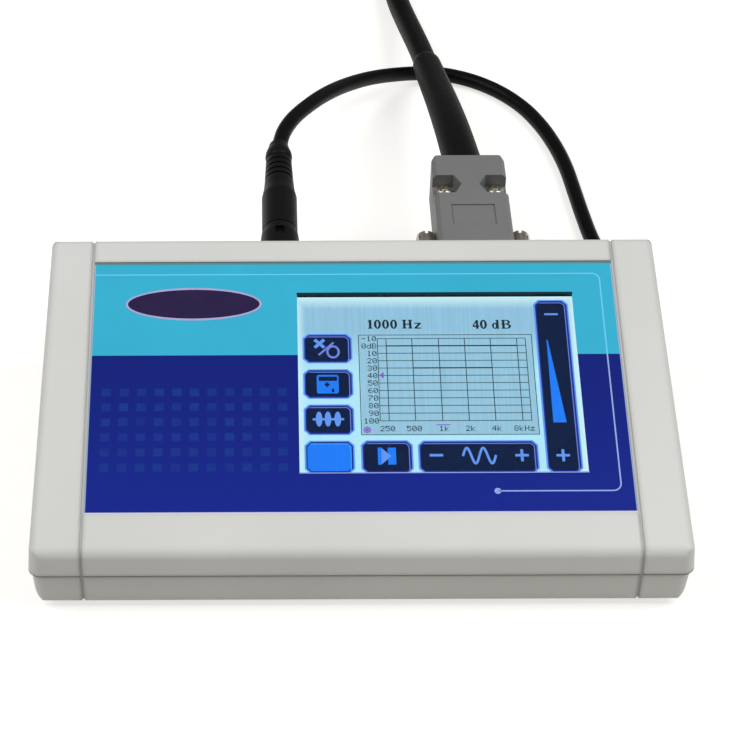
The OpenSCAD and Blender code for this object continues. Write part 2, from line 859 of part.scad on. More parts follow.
module plug_connector() color(metal) {
  flange_plate(plug_face);
  difference() {
    along_y(panel_y + fit, plug_face)
      socket_outline(ring_w, ring_h);
    along_y(panel_y - over, plug_face)
      socket_outline(shell_w + 2 * air, shell_h + 2 * air);
  }
  bar([socket_x - plug_body_w / 2, plug_face, connector_z - plug_body_h / 2],
    [socket_x + plug_body_w / 2, hood_start + plug_body_len, connector_z + plug_body_h / 2]);
}

// The notch around the right hood screw, seen from above: its inner side comes to a point
module notch_outline() {
  edge = hood_w / 2 + over;
  polygon([[edge, notch_start], [notch_point + 1.9, notch_start], [notch_point, notch_start + notch_len / 2],
    [notch_point + 2, notch_start + notch_len], [edge, notch_start + notch_len]]);
}

// The hood above its own middle plane, centred on X = 0 and Z = 0
module hood_half(hole_r, notched) {
  difference() {
    union() {
      intersection() {
        linear_extrude(height = hood_t / 2)
          rounded([[-hood_w / 2, hood_start], [hood_w / 2, hood_start], [hood_w / 2, hood_end],
            [-hood_w / 2, hood_end]], [0, 0, 2, 2]);
        along_y(hood_start - over, hood_end + over)
          polygon([[-hood_w / 2, -over], [hood_w / 2, -over], [hood_w / 2, hood_t / 2 - hood_edge],
            [hood_w / 2 - hood_edge, hood_t / 2], [-hood_w / 2 + hood_edge, hood_t / 2],
            [-hood_w / 2, hood_t / 2 - hood_edge]]);
        translate([-hood_w, 0, 0])
          rotate([90, 0, 90])
            linear_extrude(height = 2 * hood_w)
              rounded([[hood_start - over, -over], [hood_end + over / 2, -over], [hood_end + over / 2, 0],
                [hood_end, hood_t / 2 + over / 2], [hood_start - over, hood_t / 2 + over / 2]], [0, 0, 0, 0, 0]);
      }
      bar([-ear_half, hood_start, 0], [ear_half, hood_start + ear_len, flange_h / 2]);
    }
    bar([-plug_body_w / 2 - fit, hood_start - over, -over],
      [plug_body_w / 2 + fit, hood_start + plug_body_len + fit, plug_body_h / 2 + fit]);
    bar([-channel_half, hood_start, -over], [channel_half, hood_end - sleeve_seat, channel_half]);
    rod_y(0, 0, sleeve_r + fit, hood_end - sleeve_seat, hood_end + over);
    for (side = [0, 1])
      mirror([side, 0, 0]) {
        rod_y(post_pitch / 2, 0, jackscrew_r + air, hood_start - over, hood_start + ear_len + over);
        rod_y(post_pitch / 2, 0, knob_r + air, hood_start + ear_len, hood_start + ear_len + knob_len + 2 * over);
        translate([hood_screw_x, hood_screw_y, -over])
          cylinder(r = hole_r, h = notched ? hood_t : hood_t / 2 - over);
        if (notched)
          translate([0, 0, hood_t / 2 - notch_depth])
            linear_extrude(height = hood_t)
              notch_outline();
      }
    if (notched)
      translate([-pad_w / 2, hood_start + pad_start, hood_t / 2 - pad_depth])
        cube([pad_w, pad_len, over]);
  }
}

module hood_upper_half() color(dark_grey)
  translate([socket_x, 0, connector_z])
    hood_half(hood_screw_r + fit, true);

module hood_lower_half() color(dark_grey)
  translate([socket_x, 0, connector_z])
    mirror([0, 0, 1])
      hood_half(hood_screw_r + slide_fit, false);

module hood_screws() color(metal) {
  floor_z = hood_t / 2 - notch_depth;
  for (side = [-1, 1])
    translate([socket_x + side * hood_screw_x, hood_screw_y, connector_z + floor_z])
      difference() {
        union() {
          intersection() {
            cylinder(r = hood_screw_head_r, h = 1.6);
            translate([0, 0, -1.2])
              sphere(r = 3.1);
          }
          translate([0, 0, -floor_z - hood_t / 2 + 2 * over])
            cylinder(r = hood_screw_r, h = floor_z + hood_t / 2 - over);
        }
        for (turn = [45, 135])
          rotate([0, 0, turn])
            translate([-1.5, -0.3, 0.9])
              cube([3, 0.6, over]);
      }
}

module jackscrew(side) {
  x = socket_x + side * post_pitch / 2;
  knob_y = hood_start + ear_len + fit;
  difference() {
    union() {
      rod_y(x, connector_z, knob_r, knob_y, knob_y + knob_len);
      rod_y(x, connector_z, jackscrew_r, panel_y + over, knob_y + over);
    }
    for (turn = [0:30:330])
      rod_y(x + knob_r * cos(turn + 15), connector_z + knob_r * sin(turn + 15), 0.3,
        knob_y + 1.2, knob_y + knob_len - 1.2, 24);
    bar([x - 0.4, knob_y + knob_len - 1, connector_z - knob_r - over],
      [x + 0.4, knob_y + knob_len + over, connector_z + knob_r + over]);
  }
}

module jackscrew_left() color(metal) jackscrew(-1);
module jackscrew_right() color(metal) jackscrew(1);

// ---------- tubes along a route ----------

function turned(v) = [v[1], -v[0], 0];
function along(route, i) = unit(
  i == 0 ? route[1] - route[0] :
  i == len(route) - 1 ? route[i] - route[i - 1] :
  unit(route[i + 1] - route[i]) + unit(route[i] - route[i - 1]));

function ring(at, way, r, sides) =
  let (across = unit(turned(way)), up = cross(across, way))
  [for (k = [0:sides - 1]) at + r * (cos(360 * k / sides) * across + sin(360 * k / sides) * up)];

// A closed tube through the route's points; radii is one value for each point
module tube(route, radii, sides) {
  n = len(route);
  last = n - 1;
  points = [for (i = [0:last], p = ring(route[i], along(route, i), radii[i], sides)) p];
  walls = [for (i = [0:n - 2], k = [0:sides - 1])
    let (a = i * sides + k, b = i * sides + (k + 1) % sides)
    each [[a, b, b + sides], [a, b + sides, a + sides]]];
  caps = [for (k = [1:sides - 2]) each [[0, k + 1, k], [last * sides, last * sides + k, last * sides + k + 1]]];
  polyhedron(points = points, faces = concat(walls, caps));
}

function same(r, route) = [for (p = route) r];

// The least distance between the middle lines of two stretches more than skip steps apart
function to_stretch(p, a, b) =
  let (t = max(0, min(1, (p - a) * (b - a) / ((b - a) * (b - a)))))
  norm(p - a - t * (b - a));
function least_gap(route, d, skip) = min([for (i = [0:len(route) - 1], j = [i + skip:len(route) - 2])
  to_stretch(route[i], route[j], route[j + 1])]) - d;

// ---------- the headset lead ----------

// Chosen points of the sleeve and of the cord, out of the hood and along the table
sleeve_points = [[32.4, 97, 27.1], [31.2, 109, 26.2], [30.1, 121, 24.2], [29.1, 132, 21.8], [28, 143, 19.3],
  [27.1, 152, 17.3], [26.5, 158, 15.9]];
headset_points = [[25.4, 168, 13.8], [24, 180, 11], [22.5, 192.5, 8], [21, 205, 5.5], [19.6, 218, 4.2],
  [18.2, 232, 4], [17, 246, 4.2], [16.2, 259, 4.3]];

sleeve_start = hood_end - sleeve_seat + fit;
sleeve_route = concat([[socket_x, sleeve_start, connector_z], [socket_x, hood_end + 2, connector_z]], sleeve_points);
sleeve_radii = [for (i = [0:len(sleeve_route) - 1])
  sleeve_r + (sleeve_tip_r - sleeve_r) * max(0, i - 1) / (len(sleeve_route) - 2)];

// The coil: layers wound in and out again at a steady rate, a climb at each turn-round
coil_step = headset_d + 0.6;
coil_rise = headset_d + 0.5;
coil_centre = [-29, 280];
tie_t = 0.6;
coil_low = headset_d / 2 + tie_t + air;
turns_a_layer = coil_turns / coil_layers;
coil_swing = turns_a_layer * coil_step;
loop_rings = 24;

function zigzag(u) = abs((u + 1) % 2 - 1);
function climbed(u, reach) =
  let (k = floor(u + 0.5), part = (u - k) / reach)
  k == 0 || part > 1 ? (k == 0 ? 0 : k) :
  part < -1 ? k - 1 : k - 0.5 + part / 2;
function coil_radius(t) = coil_r - coil_swing / 2 + coil_swing * (1 - zigzag(t / turns_a_layer));
function coil_point(t) =
  let (layer = t / turns_a_layer, top = layer > coil_layers - 0.5)
  [coil_centre[0] + coil_radius(t) * cos(360 * t), coil_centre[1] + coil_radius(t) * sin(360 * t),
    coil_low + coil_rise * (top ? coil_layers - 1 : climbed(layer, 0.25 / turns_a_layer))];

coil_steps = round(coil_turns * loop_rings);
coil_turn_points = [for (i = [0:coil_steps]) coil_point(i / loop_rings)];
coil_first = coil_turn_points[0];
coil_last = coil_turn_points[coil_steps];
coil_route = concat([coil_first - [0, headset_d, 0]], coil_turn_points, [coil_last + [headset_d, 0, 0]]);

headset_route = concat([sleeve_route[len(sleeve_route) - 1]], headset_points, [coil_route[0]]);

line_socket_y = coil_last[1];
line_socket_x = 37;
line_cone_len = 12;
line_grip_len = 28.5;
line_ring_t = 1.8;
line_body_end = line_socket_x + line_cone_len + line_grip_len;
tail_points = [[-12, 0, 25.6], [-2, 0, 22.6], [7, 0, 18.6], [16, 0, 13.8], [23.5, 0, 9.8], [30, 0, 7.5]];
headset_tail_route = concat([coil_route[len(coil_route) - 1]],
  [for (p = tail_points) [p[0], line_socket_y, p[2]]],
  [[line_socket_x, line_socket_y, line_socket_r]]);

echo("headset_coil, least gap to itself, mm", least_gap(coil_turn_points, headset_d, round(loop_rings / 3)));

module headset_sleeve() color(black) tube(sleeve_route, sleeve_radii, 12);
module headset_cord() color(black) tube(headset_route, same(headset_d / 2, headset_route), 8);
module headset_coil() color(black) tube(coil_route, same(headset_d / 2, coil_route), 6);
module headset_tail() color(black) tube(headset_tail_route, same(headset_d / 2, headset_tail_route), 8);

// A strap round a bundle of w by h, its length along Y, with its lowest face at Z = 0
module strap(w, h, length) {
  out = tie_t + air;
  difference() {
    bar([-w / 2 - out, -length / 2, 0], [w / 2 + out, length / 2, h + 2 * out]);
    bar([-w / 2 - air, -length / 2 - over, tie_t], [w / 2 + air, length / 2 + over, h + out + air]);
  }
}

module coil_tie() color("#2E2E30") {
  bundle_h = headset_d + (coil_layers - 1) * coil_rise;
  lift = coil_low - headset_d / 2 - tie_t - air;
  translate([coil_centre[0] + coil_r * cos(135), coil_centre[1] + coil_r * sin(135), lift])
    rotate([0, 0, 135])
      strap(coil_swing + headset_d, bundle_h, 8);
}

// The in-line socket that a headset's jack plug goes into
module line_socket() color(black) {
  body = line_body_end - line_ring_t;
  translate([0, line_socket_y, line_socket_r])
    rotate([0, 90, 0])
      difference() {
        union() {
          translate([0, 0, line_socket_x])
            cylinder(r1 = headset_d / 2 + 0.6, r2 = line_socket_r - 1.5, h = line_cone_len);
          translate([0, 0, line_socket_x + line_cone_len])
            cylinder(r = line_socket_r, h = body - line_socket_x - line_cone_len);
        }
        translate([0, 0, body - line_bore_len])
          cylinder(r = line_bore_r, h = line_bore_len + over);
        for (k = [0:2])
          translate([0, 0, line_socket_x + line_cone_len + 3 + 2.4 * k])
            difference() {
              cylinder(r = line_socket_r + over, h = 1);
              cylinder(r = line_socket_r - 0.4, h = 1);
            }
      }
}

module line_socket_ring() color(metal) {
  translate([line_body_end - line_ring_t, line_socket_y, line_socket_r])
    rotate([0, 90, 0])
      difference() {
        cylinder(r = line_socket_r - 1, h = line_ring_t);
        translate([0, 0, -over])
          cylinder(r = line_bore_r + 0.2, h = line_ring_t + 2 * over);
      }
}

// ---------- the power lead ----------

plug_start = panel_y + air;
collar_end = plug_start + 21.6;
grip_end = collar_end + 14.4;
neck_start = grip_end + 3.5;
plug_end = 101.6;
plug_seat = 4;
rib_start = grip_end + 7.1;
rib_pitch = 2.3;
rib_groove = 0.7;
rib_count = 4;
bead_start = rib_start + rib_count * rib_pitch;
neck_r = 4.25;
neck_end_r = 4;
rib_r = 3.95;
rib_root_r = 3.2;
bead_r = 3.75;

// A turned piece: pairs of radius and distance along its axis
module turned_piece(pairs, bore) {
  rotate_extrude()
    polygon(concat([[bore, pairs[0][1]]], pairs, [[bore, pairs[len(pairs) - 1][1]]]));
}

module power_plug_grip() color(black) {
  ribs = [for (k = [0:rib_count - 1], start = rib_start + rib_pitch * k) each [
    [rib_root_r, start], [rib_root_r, start + rib_groove],
    [rib_r - 0.1 * k, start + rib_groove], [rib_r - 0.1 * k - 0.05, start + rib_pitch]]];
  difference() {
    translate([inlet_x, 0, connector_z])
      rotate([-90, 0, 0])
        turned_piece(concat([
          [collar_r - 0.4, plug_start], [collar_r, plug_start + 0.4], [collar_r, collar_end - 3.4],
          [collar_r - 0.3, collar_end - 0.5], [grip_r - 0.3, collar_end - 0.5], [grip_r - 0.3, collar_end],
          [grip_r, collar_end], [grip_r, grip_end], [neck_r, neck_start], [neck_end_r, rib_start]], ribs,
          [[rib_root_r, bead_start], [rib_root_r, bead_start + rib_groove],
          [bead_r - 0.4, bead_start + rib_groove], [bead_r - 0.1, bead_start + 1.4], [bead_r, bead_start + 2.4],
          [bead_r - 0.15, bead_start + 3.7], [bead_r - 0.6, bead_start + 5.2], [power_d / 2 + 0.5, plug_end]]), 0);
    rod_y(inlet_x, connector_z, barrel_r + slide_fit, plug_start - over, plug_start + plug_seat);
    bar([inlet_x - 1.2, collar_end - 5.8, connector_z + collar_r - 1],
      [inlet_x + 1.2, collar_end - 3, connector_z + collar_r + over]);
  }
}

module power_plug_barrel() color(metal) {
  difference() {
    rod_y(inlet_x, connector_z, barrel_r, panel_y - barrel_len, plug_start + plug_seat - fit);
    rod_y(inlet_x, connector_z, pin_r + slide_fit, panel_y - barrel_len - over, plug_start + 2);
  }
}

// Chosen points of the power cord, out of the plug and round to the back of the case
power_points = [[-17.2, 107.6, 27.3], [-14.5, 115, 26.7], [-9, 126, 24.2], [-3.5, 136, 20.9], [2.5, 146, 16.6],
  [9.5, 155.5, 12], [17, 163.5, 7.5], [25, 169, 4.1], [33, 170.5, 2.6], [42, 167.5, 2.2], [50, 161.5, 2.2],
  [56.5, 153.5, 2.2], [61, 144.5, 2.2], [64.3, 134.5, 2.2], [66.5, 124, 2.2], [67.8, 113, 2.2], [69, 102, 2.2],
  [70.5, 91, 2.2], [72.8, 80, 2.5]];

// The hank: runs along X, folded at both ends, drawn in at the waist
hank_step = power_d + 0.5;
hank_rise = power_d + 0.42;
hank_right = 54.5;
hank_near = rear_y - lower_step + power_d / 2 + air;
hank_mid = hank_near + hank_r;
hank_low = power_d / 2 + tie_t + air;
hank_left = hank_right - hank_run;
draw_in = hank_r - 1.75 * hank_step;
hank_tie_w = 6;
run_rings = 4;
fold_rings = 8;

// How far each run lies from the middle line: near runs are negative, far runs positive,
// in by half a step at a time and out again
function hank_offset(k) = (k % 2 == 0 ? -1 : 1) * (hank_r - hank_step * min(k, hank_runs - 1 - k) / 2);
function hank_level(k, t) = hank_low + hank_rise * (k < 3 ? 0 : k == 3 ? t : 1);
function waist(t) = (1 - cos(360 * t)) / 2;
function run_point(k, t) =
  let (away = hank_offset(k), side = away < 0 ? -1 : 1,
    x = k % 2 == 0 ? hank_right - hank_run * t : hank_left + hank_run * t)
  [x, hank_mid + away - side * draw_in * waist(t), hank_level(k, t)];
function fold_point(k, t) =
  let (a = hank_offset(k), b = hank_offset(k + 1), r = abs(b - a) / 2, at_left = k % 2 == 0)
  [(at_left ? hank_left : hank_right) + (at_left ? -1 : 1) * r * sin(180 * t),
    hank_mid + (a + b) / 2 + (a - b) / 2 * cos(180 * t), hank_level(k, 1)];

entry_r = hank_r + hank_step / 4;
entry_centre = [hank_right, hank_near + entry_r];
hank_entry = [for (i = [0:3])
  [hank_right + entry_r * cos(22.5 * i), entry_centre[1] - entry_r * sin(22.5 * i), hank_low]];
hank_turn_points = concat(
  hank_entry,
  [for (k = [0:hank_runs - 1]) each concat(
    [for (i = [0:run_rings]) run_point(k, i / run_rings)],
    k == hank_runs - 1 ? [] : [for (i = [1:fold_rings - 1]) fold_point(k, i / fold_rings)])]);
hank_first = hank_turn_points[0];
hank_last = hank_turn_points[len(hank_turn_points) - 1];
hank_route = concat([hank_first + [0, power_d, 0]], hank_turn_points, [hank_last - [power_d, 0, 0]]);

power_route = concat([[inlet_x + 0.4, plug_end, connector_z]], power_points, [hank_route[0]]);

far_plug_y = 50;
far_plug_x = -38;
far_barrel_tip = -79;
far_plug_z = far_grip_r;
barrel_seat_r = barrel_r - 0.4;
seat_depth = 3;
power_tail_route = concat([hank_route[len(hank_route) - 1]],
  [[-22, hank_near + 0.7, 7.8], [-28, 47, 7], [-33, 48.8, 5.8]], [[far_plug_x, far_plug_y, far_plug_z]]);

echo("power_hank, least gap to itself, mm", least_gap(hank_turn_points, power_d, run_rings + 2));

module power_cord() color(black) tube(power_route, same(power_d / 2, power_route), 8);
module power_hank() color(black) tube(hank_route, same(power_d / 2, hank_route), 6);
module power_tail() color(black) tube(power_tail_route, same(power_d / 2, power_tail_route), 8);

module hank_tie() color("#2E2E30") {
  waist_near = hank_offset(0) + draw_in;
  waist_far = hank_offset(1) - draw_in;
  spread = 2 * draw_in / hank_run;
  translate([(hank_left + hank_right) / 2, hank_mid + (waist_near + waist_far) / 2, 0])
    rotate([0, 0, 90])
      strap(waist_far - waist_near + power_d / cos(atan(spread)) + spread * hank_tie_w, power_d + hank_rise,
        hank_tie_w);
}

module far_plug_grip() color(black) {
  far_start = far_barrel_tip + barrel_len;
  boot = far_start + 18;
  ribs = [for (k = [0:2]) each [[3.6 - 0.2 * k, boot + 1 + 3 * k], [3.6 - 0.2 * k, boot + 2.6 + 3 * k],
    [3, boot + 2.8 + 3 * k], [3, boot + 3.8 + 3 * k]]];
  translate([0, far_plug_y, far_plug_z])
    rotate([0, 90, 0])
      difference() {
        turned_piece(concat([[far_grip_r - 0.4, far_start], [far_grip_r, far_start + 0.4],
          [far_grip_r, boot - 1.5], [3.8, boot]], ribs, [[power_d / 2 + 0.5, far_plug_x]]), 0);
        translate([0, 0, far_start - over])
          cylinder(r = barrel_seat_r + slide_fit, h = seat_depth + over);
      }
}

module far_plug_barrel() color(metal) {
  translate([far_barrel_tip, far_plug_y, far_plug_z])
    rotate([0, 90, 0])
      difference() {
        union() {
          cylinder(r = barrel_r, h = barrel_len);
          cylinder(r = barrel_seat_r, h = barrel_len + seat_depth - fit);
        }
        translate([0, 0, -over])
          cylinder(r = pin_r + slide_fit, h = barrel_len + over);
      }
}

upper_shell();
lower_shell();
rear_panel();
upper_left_cover();
upper_right_cover();
lower_left_cover();
lower_right_cover();
front_overlay();
touch_panel();
screen_gasket();
screen_glass();
screen_backlight();
screen_frame();
main_board();
processor_chip();
audio_chip();
filter_capacitors();
io_board();
ribbon_cable();
case_screws();
board_screws();
rubber_feet();
headset_connector();
jack_posts();
power_inlet();
switch_housing();
switch_rocker();
plug_connector();
hood_upper_half();
hood_lower_half();
hood_screws();
jackscrew_left();
jackscrew_right();
headset_sleeve();
headset_cord();
headset_coil();
headset_tail();
coil_tie();
line_socket();
line_socket_ring();
power_plug_grip();
power_plug_barrel();
power_cord();
power_hank();
power_tail();
hank_tie();
far_plug_grip();
far_plug_barrel();
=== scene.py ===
"""Looks of a table-top touch-screen audiometer: the finish of each CAD part, the print on its
overlay, the picture on its screen and its two leads. Lengths are metres unless a name ends in _MM."""

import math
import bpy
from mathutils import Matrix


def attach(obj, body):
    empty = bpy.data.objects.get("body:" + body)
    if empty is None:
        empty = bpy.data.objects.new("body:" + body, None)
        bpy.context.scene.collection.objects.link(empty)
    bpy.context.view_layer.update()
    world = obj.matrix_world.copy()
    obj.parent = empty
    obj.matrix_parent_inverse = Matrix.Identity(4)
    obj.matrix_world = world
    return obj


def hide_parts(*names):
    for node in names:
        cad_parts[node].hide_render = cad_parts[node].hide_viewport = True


bl_info = {
    "name": "Desk audiometer",
    "version": (1, 0, 0),
    "blender": (4, 5, 0),
    "location": "View3D > Sidebar > Audiometer",
    "description": "Finishes, screen picture and leads for a desk audiometer",
    "category": "Object",
}

from functools import partial

import bmesh
import bpy
from bpy.props import FloatProperty, FloatVectorProperty, PointerProperty
from mathutils import Matrix, Vector

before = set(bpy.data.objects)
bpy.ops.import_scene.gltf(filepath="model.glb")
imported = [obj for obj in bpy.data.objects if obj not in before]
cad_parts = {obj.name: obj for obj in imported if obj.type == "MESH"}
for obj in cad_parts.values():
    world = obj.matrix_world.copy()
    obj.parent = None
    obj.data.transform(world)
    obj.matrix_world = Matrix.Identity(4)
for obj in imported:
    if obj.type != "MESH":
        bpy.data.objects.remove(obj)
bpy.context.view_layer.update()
MM = 0.001
BODY = "instrument"

# The sloped top: X across, Y up the slope from the nose, Z out of the top, in millimetres
SLOPE = math.radians(14)
NOSE = Vector((0, -0.0457282, 0.0192))
ON_TOP = Matrix.Translation(NOSE) @ Matrix.Rotation(SLOPE, 4, "X") @ Matrix.Diagonal((MM, MM, MM, 1))
WINDOW_AT_MM = (20.5, 48.5)
ON_SCREEN = ON_TOP @ Matrix.Translation((*WINDOW_AT_MM, 0))
# The foil's face, the line between its two fields, and its edges; then the lit glass under it
FOIL_FACE_MM = -0.3
FIELD_EDGE_MM = 56.35
FOIL_FRONT_MM, FOIL_BACK_MM, FOIL_SIDE_MM = 10.85, 84.9, 66.35
GLASS_FACE_MM = -3.0
PIXEL_MM = 70 / 320

# The height of the line between the case's halves, and half the width of the dark band painted along it for
# the seam's shade and the dust in it
PARTING_AT, PARTING_SHADE_HALF = 0.0119, 0.0005
# The case's outline in millimetres back from its front face and up from the table, upper and lower half,
# each with the radii of its two middle corners. The bead in the groove beside a side cover runs along it,
# between two places in X and two depths under it, which are also in millimetres.
CASE_FRONT = -0.0466
GROOVE_LINES = (
    (((0, 12.1), (0.872, 19.2), (90.1, 41.447), (90.1, 12.1)), (3.0, 0.5)),
    (((89.5, 11.7), (89.5, 1.5), (1.135, 1.5), (0.6, 11.7)), (0.5, 2.0)),
)
GROOVE_FROM, GROOVE_TO, GROOVE_TOP, GROOVE_FLOOR = 66.33, 67.07, 0.35, 1.35


def srgb(code):
    """The linear colour of an sRGB hex code."""
    parts = [int(code[i:i + 2], 16) / 255 for i in (0, 2, 4)]
    return tuple(c / 12.92 if c <= 0.04045 else ((c + 0.055) / 1.055) ** 2.4 for c in parts) + (1.0,)


# ---------- sizes and colours that a user would change ----------


def colour(name, what, code):
    return FloatVectorProperty(name=name, description="Colour of " + what, default=srgb(code), size=4,
                               min=0, max=1, subtype="COLOR")


def distance(name, description, default):
    return FloatProperty(name=name, description=description, default=default, min=0, unit="LENGTH",
                         precision=5)


class CaseFinish(bpy.types.PropertyGroup):
    shell: colour("Shell", "the moulded case", "DCDCD8")
    grain: distance("Grain", "Size of the fine grain on the moulded case", 0.0008)
    foot: colour("Feet", "the rubber feet", "232325")


class OverlayPrint(bpy.types.PropertyGroup):
    upper: colour("Upper field", "the overlay's upper field", "3AB6D8")
    lower: colour("Lower field", "the overlay's lower field", "12258A")
    squares: colour("Squares", "the faint squares on the lower field", "1C4092")
    # Its colour also paints the highlight below the window
    line: colour("Line", "the thin line and its dot", "9FB2F0")
    line_above: colour("Line above", "the thin line on the upper field", "6CD6F8")
    plate: colour("Oval", "the bare oval field", "281A47")
    plate_rim: colour("Oval rim", "the oval field's rim", "B4AEDA")
    line_width: distance("Line width", "Width of the thin line", 0.00036)


class ScreenPicture(bpy.types.PropertyGroup):
    ground: colour("Ground", "the lit ground of the picture", "96C5E1")
    key: colour("Key", "the inside of a key on the screen", "061A40")
    key_edge: colour("Key edge", "the band round a key", "1A2F96")
    glow: colour("Glow", "the light edge and the signs of a key", "6699F5")
    lit_key: colour("Lit key", "the key that is lit", "1E7EFF")
    ink: colour("Lines", "the chart's lines and small figures", "2F4A55")
    mark: colour("Marks", "the chart's two marks", "8A5CC8")


class Leads(bpy.types.PropertyGroup):
    jacket: colour("Jacket", "the leads' jackets", "070708")
    headset_diameter: distance("Headset lead", "Diameter of the headset lead", 0.007)
    power_diameter: distance("Power lead", "Diameter of the power lead", 0.0044)
    hood: colour("Hood", "the connector's hood", "777877")
    nickel: colour("Nickel", "the plated connectors and screws", "CBC6BC")


class AudiometerLook(bpy.types.PropertyGroup):
    case: PointerProperty(type=CaseFinish)
    overlay: PointerProperty(type=OverlayPrint)
    screen: PointerProperty(type=ScreenPicture)
    leads: PointerProperty(type=Leads)


# ---------- materials ----------


def add_node(tree, kind, inputs=(), out=0, **settings):
    """Adds a node, makes its settings, gives its inputs a value or a link, and returns one output.
    The inputs are a table, or a row in the node's own order. One that is None stays as it is, and
    one in quotes is a hex code."""
    node = tree.nodes.new("ShaderNode" + kind)
    for name, value in settings.items():
        setattr(node, name, value)
    if not isinstance(inputs, dict):
        inputs = dict(enumerate(inputs))
    for socket, value in inputs.items():
        if isinstance(value, bpy.types.NodeSocket):
            tree.links.new(value, node.inputs[socket])
        elif value is not None:
            node.inputs[socket].default_value = srgb(value) if isinstance(value, str) else value
    return node.outputs[out] if node.outputs else None


def new_material(name):
    """An empty material, the function that adds nodes to it, and the Object coordinates of the piece."""
    material = bpy.data.materials.new(name)
    material.use_nodes = True
    material.node_tree.nodes.clear()
    add = partial(add_node, material.node_tree)
    return material, add, add("TexCoord", out="Object")


def finished(material, add, inputs):
    """The material, once its surface has been given these inputs."""
    add("OutputMaterial", [add("BsdfPrincipled", inputs)])
    return material


def between(add, fac, low, high, start=0.3, end=0.7):
    """A value or colour that runs from low to high as fac does from start to end."""
    if isinstance(low, float):
        return add("MapRange", (fac, start, end, low, high))
    return add("Mix", {0: add("MapRange", (fac, start, end)), 6: low, 7: high}, 2, data_type="RGBA")


def mottled(add, place, size, low, high, detail=2.0, rough=0.5):
    """A value or colour that wanders between low and high in clouds about size metres across."""
    clouds = add("TexNoise", {"Vector": place, "Scale": 1 / size, "Detail": detail, "Roughness": rough})
    return between(add, clouds, low, high)


def grained(add, place, size, low, high, depth, detail=2.0, rough=0.5, below=None):
    """Roughness from low to high and a height of depth, both from one grain about size metres across."""
    grain = add("TexNoise", {"Vector": place, "Scale": 1 / size, "Detail": detail, "Roughness": rough})
    return {"Roughness": between(add, grain, low, high),
            "Normal": add("Bump", {"Height": grain, "Distance": depth, "Normal": below})}


def apart(add, value, middle):
    """How far a value is from middle, to either side."""
    return add("Math", [add("Math", (value, middle), operation="SUBTRACT")], operation="ABSOLUTE")


def shade(tint, by):
    """A colour, or the colour of a hex code, made lighter or darker."""
    if isinstance(tint, str):
        tint = srgb(tint)
    return tuple(min(1.0, c * by) for c in tint[:3]) + (1.0,)


def moulded(name, tint, roughness, grain, depth, cloud, soften=None, parting=None, level=None):
    """A moulded or cast surface: a fine grain in its roughness and height, and slow clouds in its colour.
    soften rounds its edges in the shading, parting is the height of a parting line, along which a dark band
    paints the seam's shade and the dust in it, and level is the specular level."""
    material, add, place = new_material(name)
    skin = mottled(add, place, cloud, shade(tint, 0.96), shade(tint, 1.03), 3.0)
    if parting:
        # A painted dark band along the parting line: the seam's shade, with the dust in it
        off = apart(add, add("SeparateXYZ", [place], "Z"), parting)
        skin = between(add, off, skin, shade(tint, 0.1), PARTING_SHADE_HALF, 0.6 * PARTING_SHADE_HALF)
    below = add("Bevel", {"Radius": soften}, samples=4) if soften else None
    return finished(material, add, {"Base Color": skin, "Specular IOR Level": level} | grained(
        add, place, grain, roughness - 0.05, roughness + 0.06, depth, 4.0, 0.6, below))


def plated(name, tint, roughness, grain=0.0006):
    """A plated metal: fine wear in its roughness and a few duller clouds."""
    material, add, place = new_material(name)
    return finished(material, add, {
        "Base Color": mottled(add, place, 0.004, shade(tint, 0.86), shade(tint, 1.04), 3.0),
        "Metallic": 1.0,
    } | grained(add, place, grain, roughness - 0.06, roughness + 0.1, 0.000004, 5.0, 0.7))


def slope_place(add, place):
    """The place on the sloped top in millimetres, from Object coordinates."""
    shift = Matrix.Rotation(-SLOPE, 3, "X") @ NOSE / -MM
    return add("Mapping", {"Vector": place, "Location": shift, "Rotation": (-SLOPE, 0, 0),
                           "Scale": [1 / MM] * 3})


def printed_foil(look):
    """Polyester foil, printed on its back in two fields: a satin face with a slight orange peel.
    The lower field carries eleven by six faint squares, about 2.2 mm wide and 4.35 mm apart."""
    material, add, place = new_material("printed_polyester_foil")
    u, v, _ = add("SeparateXYZ", [slope_place(add, place)]).node.outputs
    square = mottled(add, place, 0.006, 0.28, 0.68)
    for value, first, pitch, count in ((u, -62.0, 4.355, 11), (v, 23.75, 4.33, 6)):
        turn = add("Math", (value, first - pitch / 2), operation="SUBTRACT")
        turn = add("Math", (turn, pitch), operation="DIVIDE")
        near = apart(add, add("Math", [turn], operation="FRACT"), 0.5)
        for mask in (between(add, near, 0.0, 1.0, 0.3, 0.215),
                     add("Math", (apart(add, turn, count / 2), count / 2), operation="LESS_THAN")):
            square = add("Math", (square, mask), operation="MULTIPLY")
    lower = between(add, v, shade(look.lower, 1.12), shade(look.lower, 0.8), 12.0, 56.0)
    lower = between(add, square, lower, look.squares, 0.0, 1.0)
    upper = mottled(add, place, 0.02, shade(look.upper, 0.97), shade(look.upper, 1.04))
    face = between(add, v, lower, upper, FIELD_EDGE_MM - 0.05, FIELD_EDGE_MM + 0.05)
    # Fine lines along the foil's cut edges: a pale one at both sides, a painted highlight along the front
    # edge and painted shade along the rear edge, under the step of the recess
    for value, inner, outer, tint in (
            (apart(add, u, 0.0), FOIL_SIDE_MM - 0.4, FOIL_SIDE_MM - 0.25, "A9BFDC"),
            (v, FOIL_FRONT_MM + 0.5, FOIL_FRONT_MM + 0.35, "D9DAF2"),
            (v, FOIL_BACK_MM - 0.75, FOIL_BACK_MM - 0.55, "5F8E92")):
        face = between(add, value, face, tint, inner, outer)
    return finished(material, add, {"Base Color": face, "Specular IOR Level": 0.1} | grained(
        add, place, 0.0012, 0.44, 0.54, 0.000008))


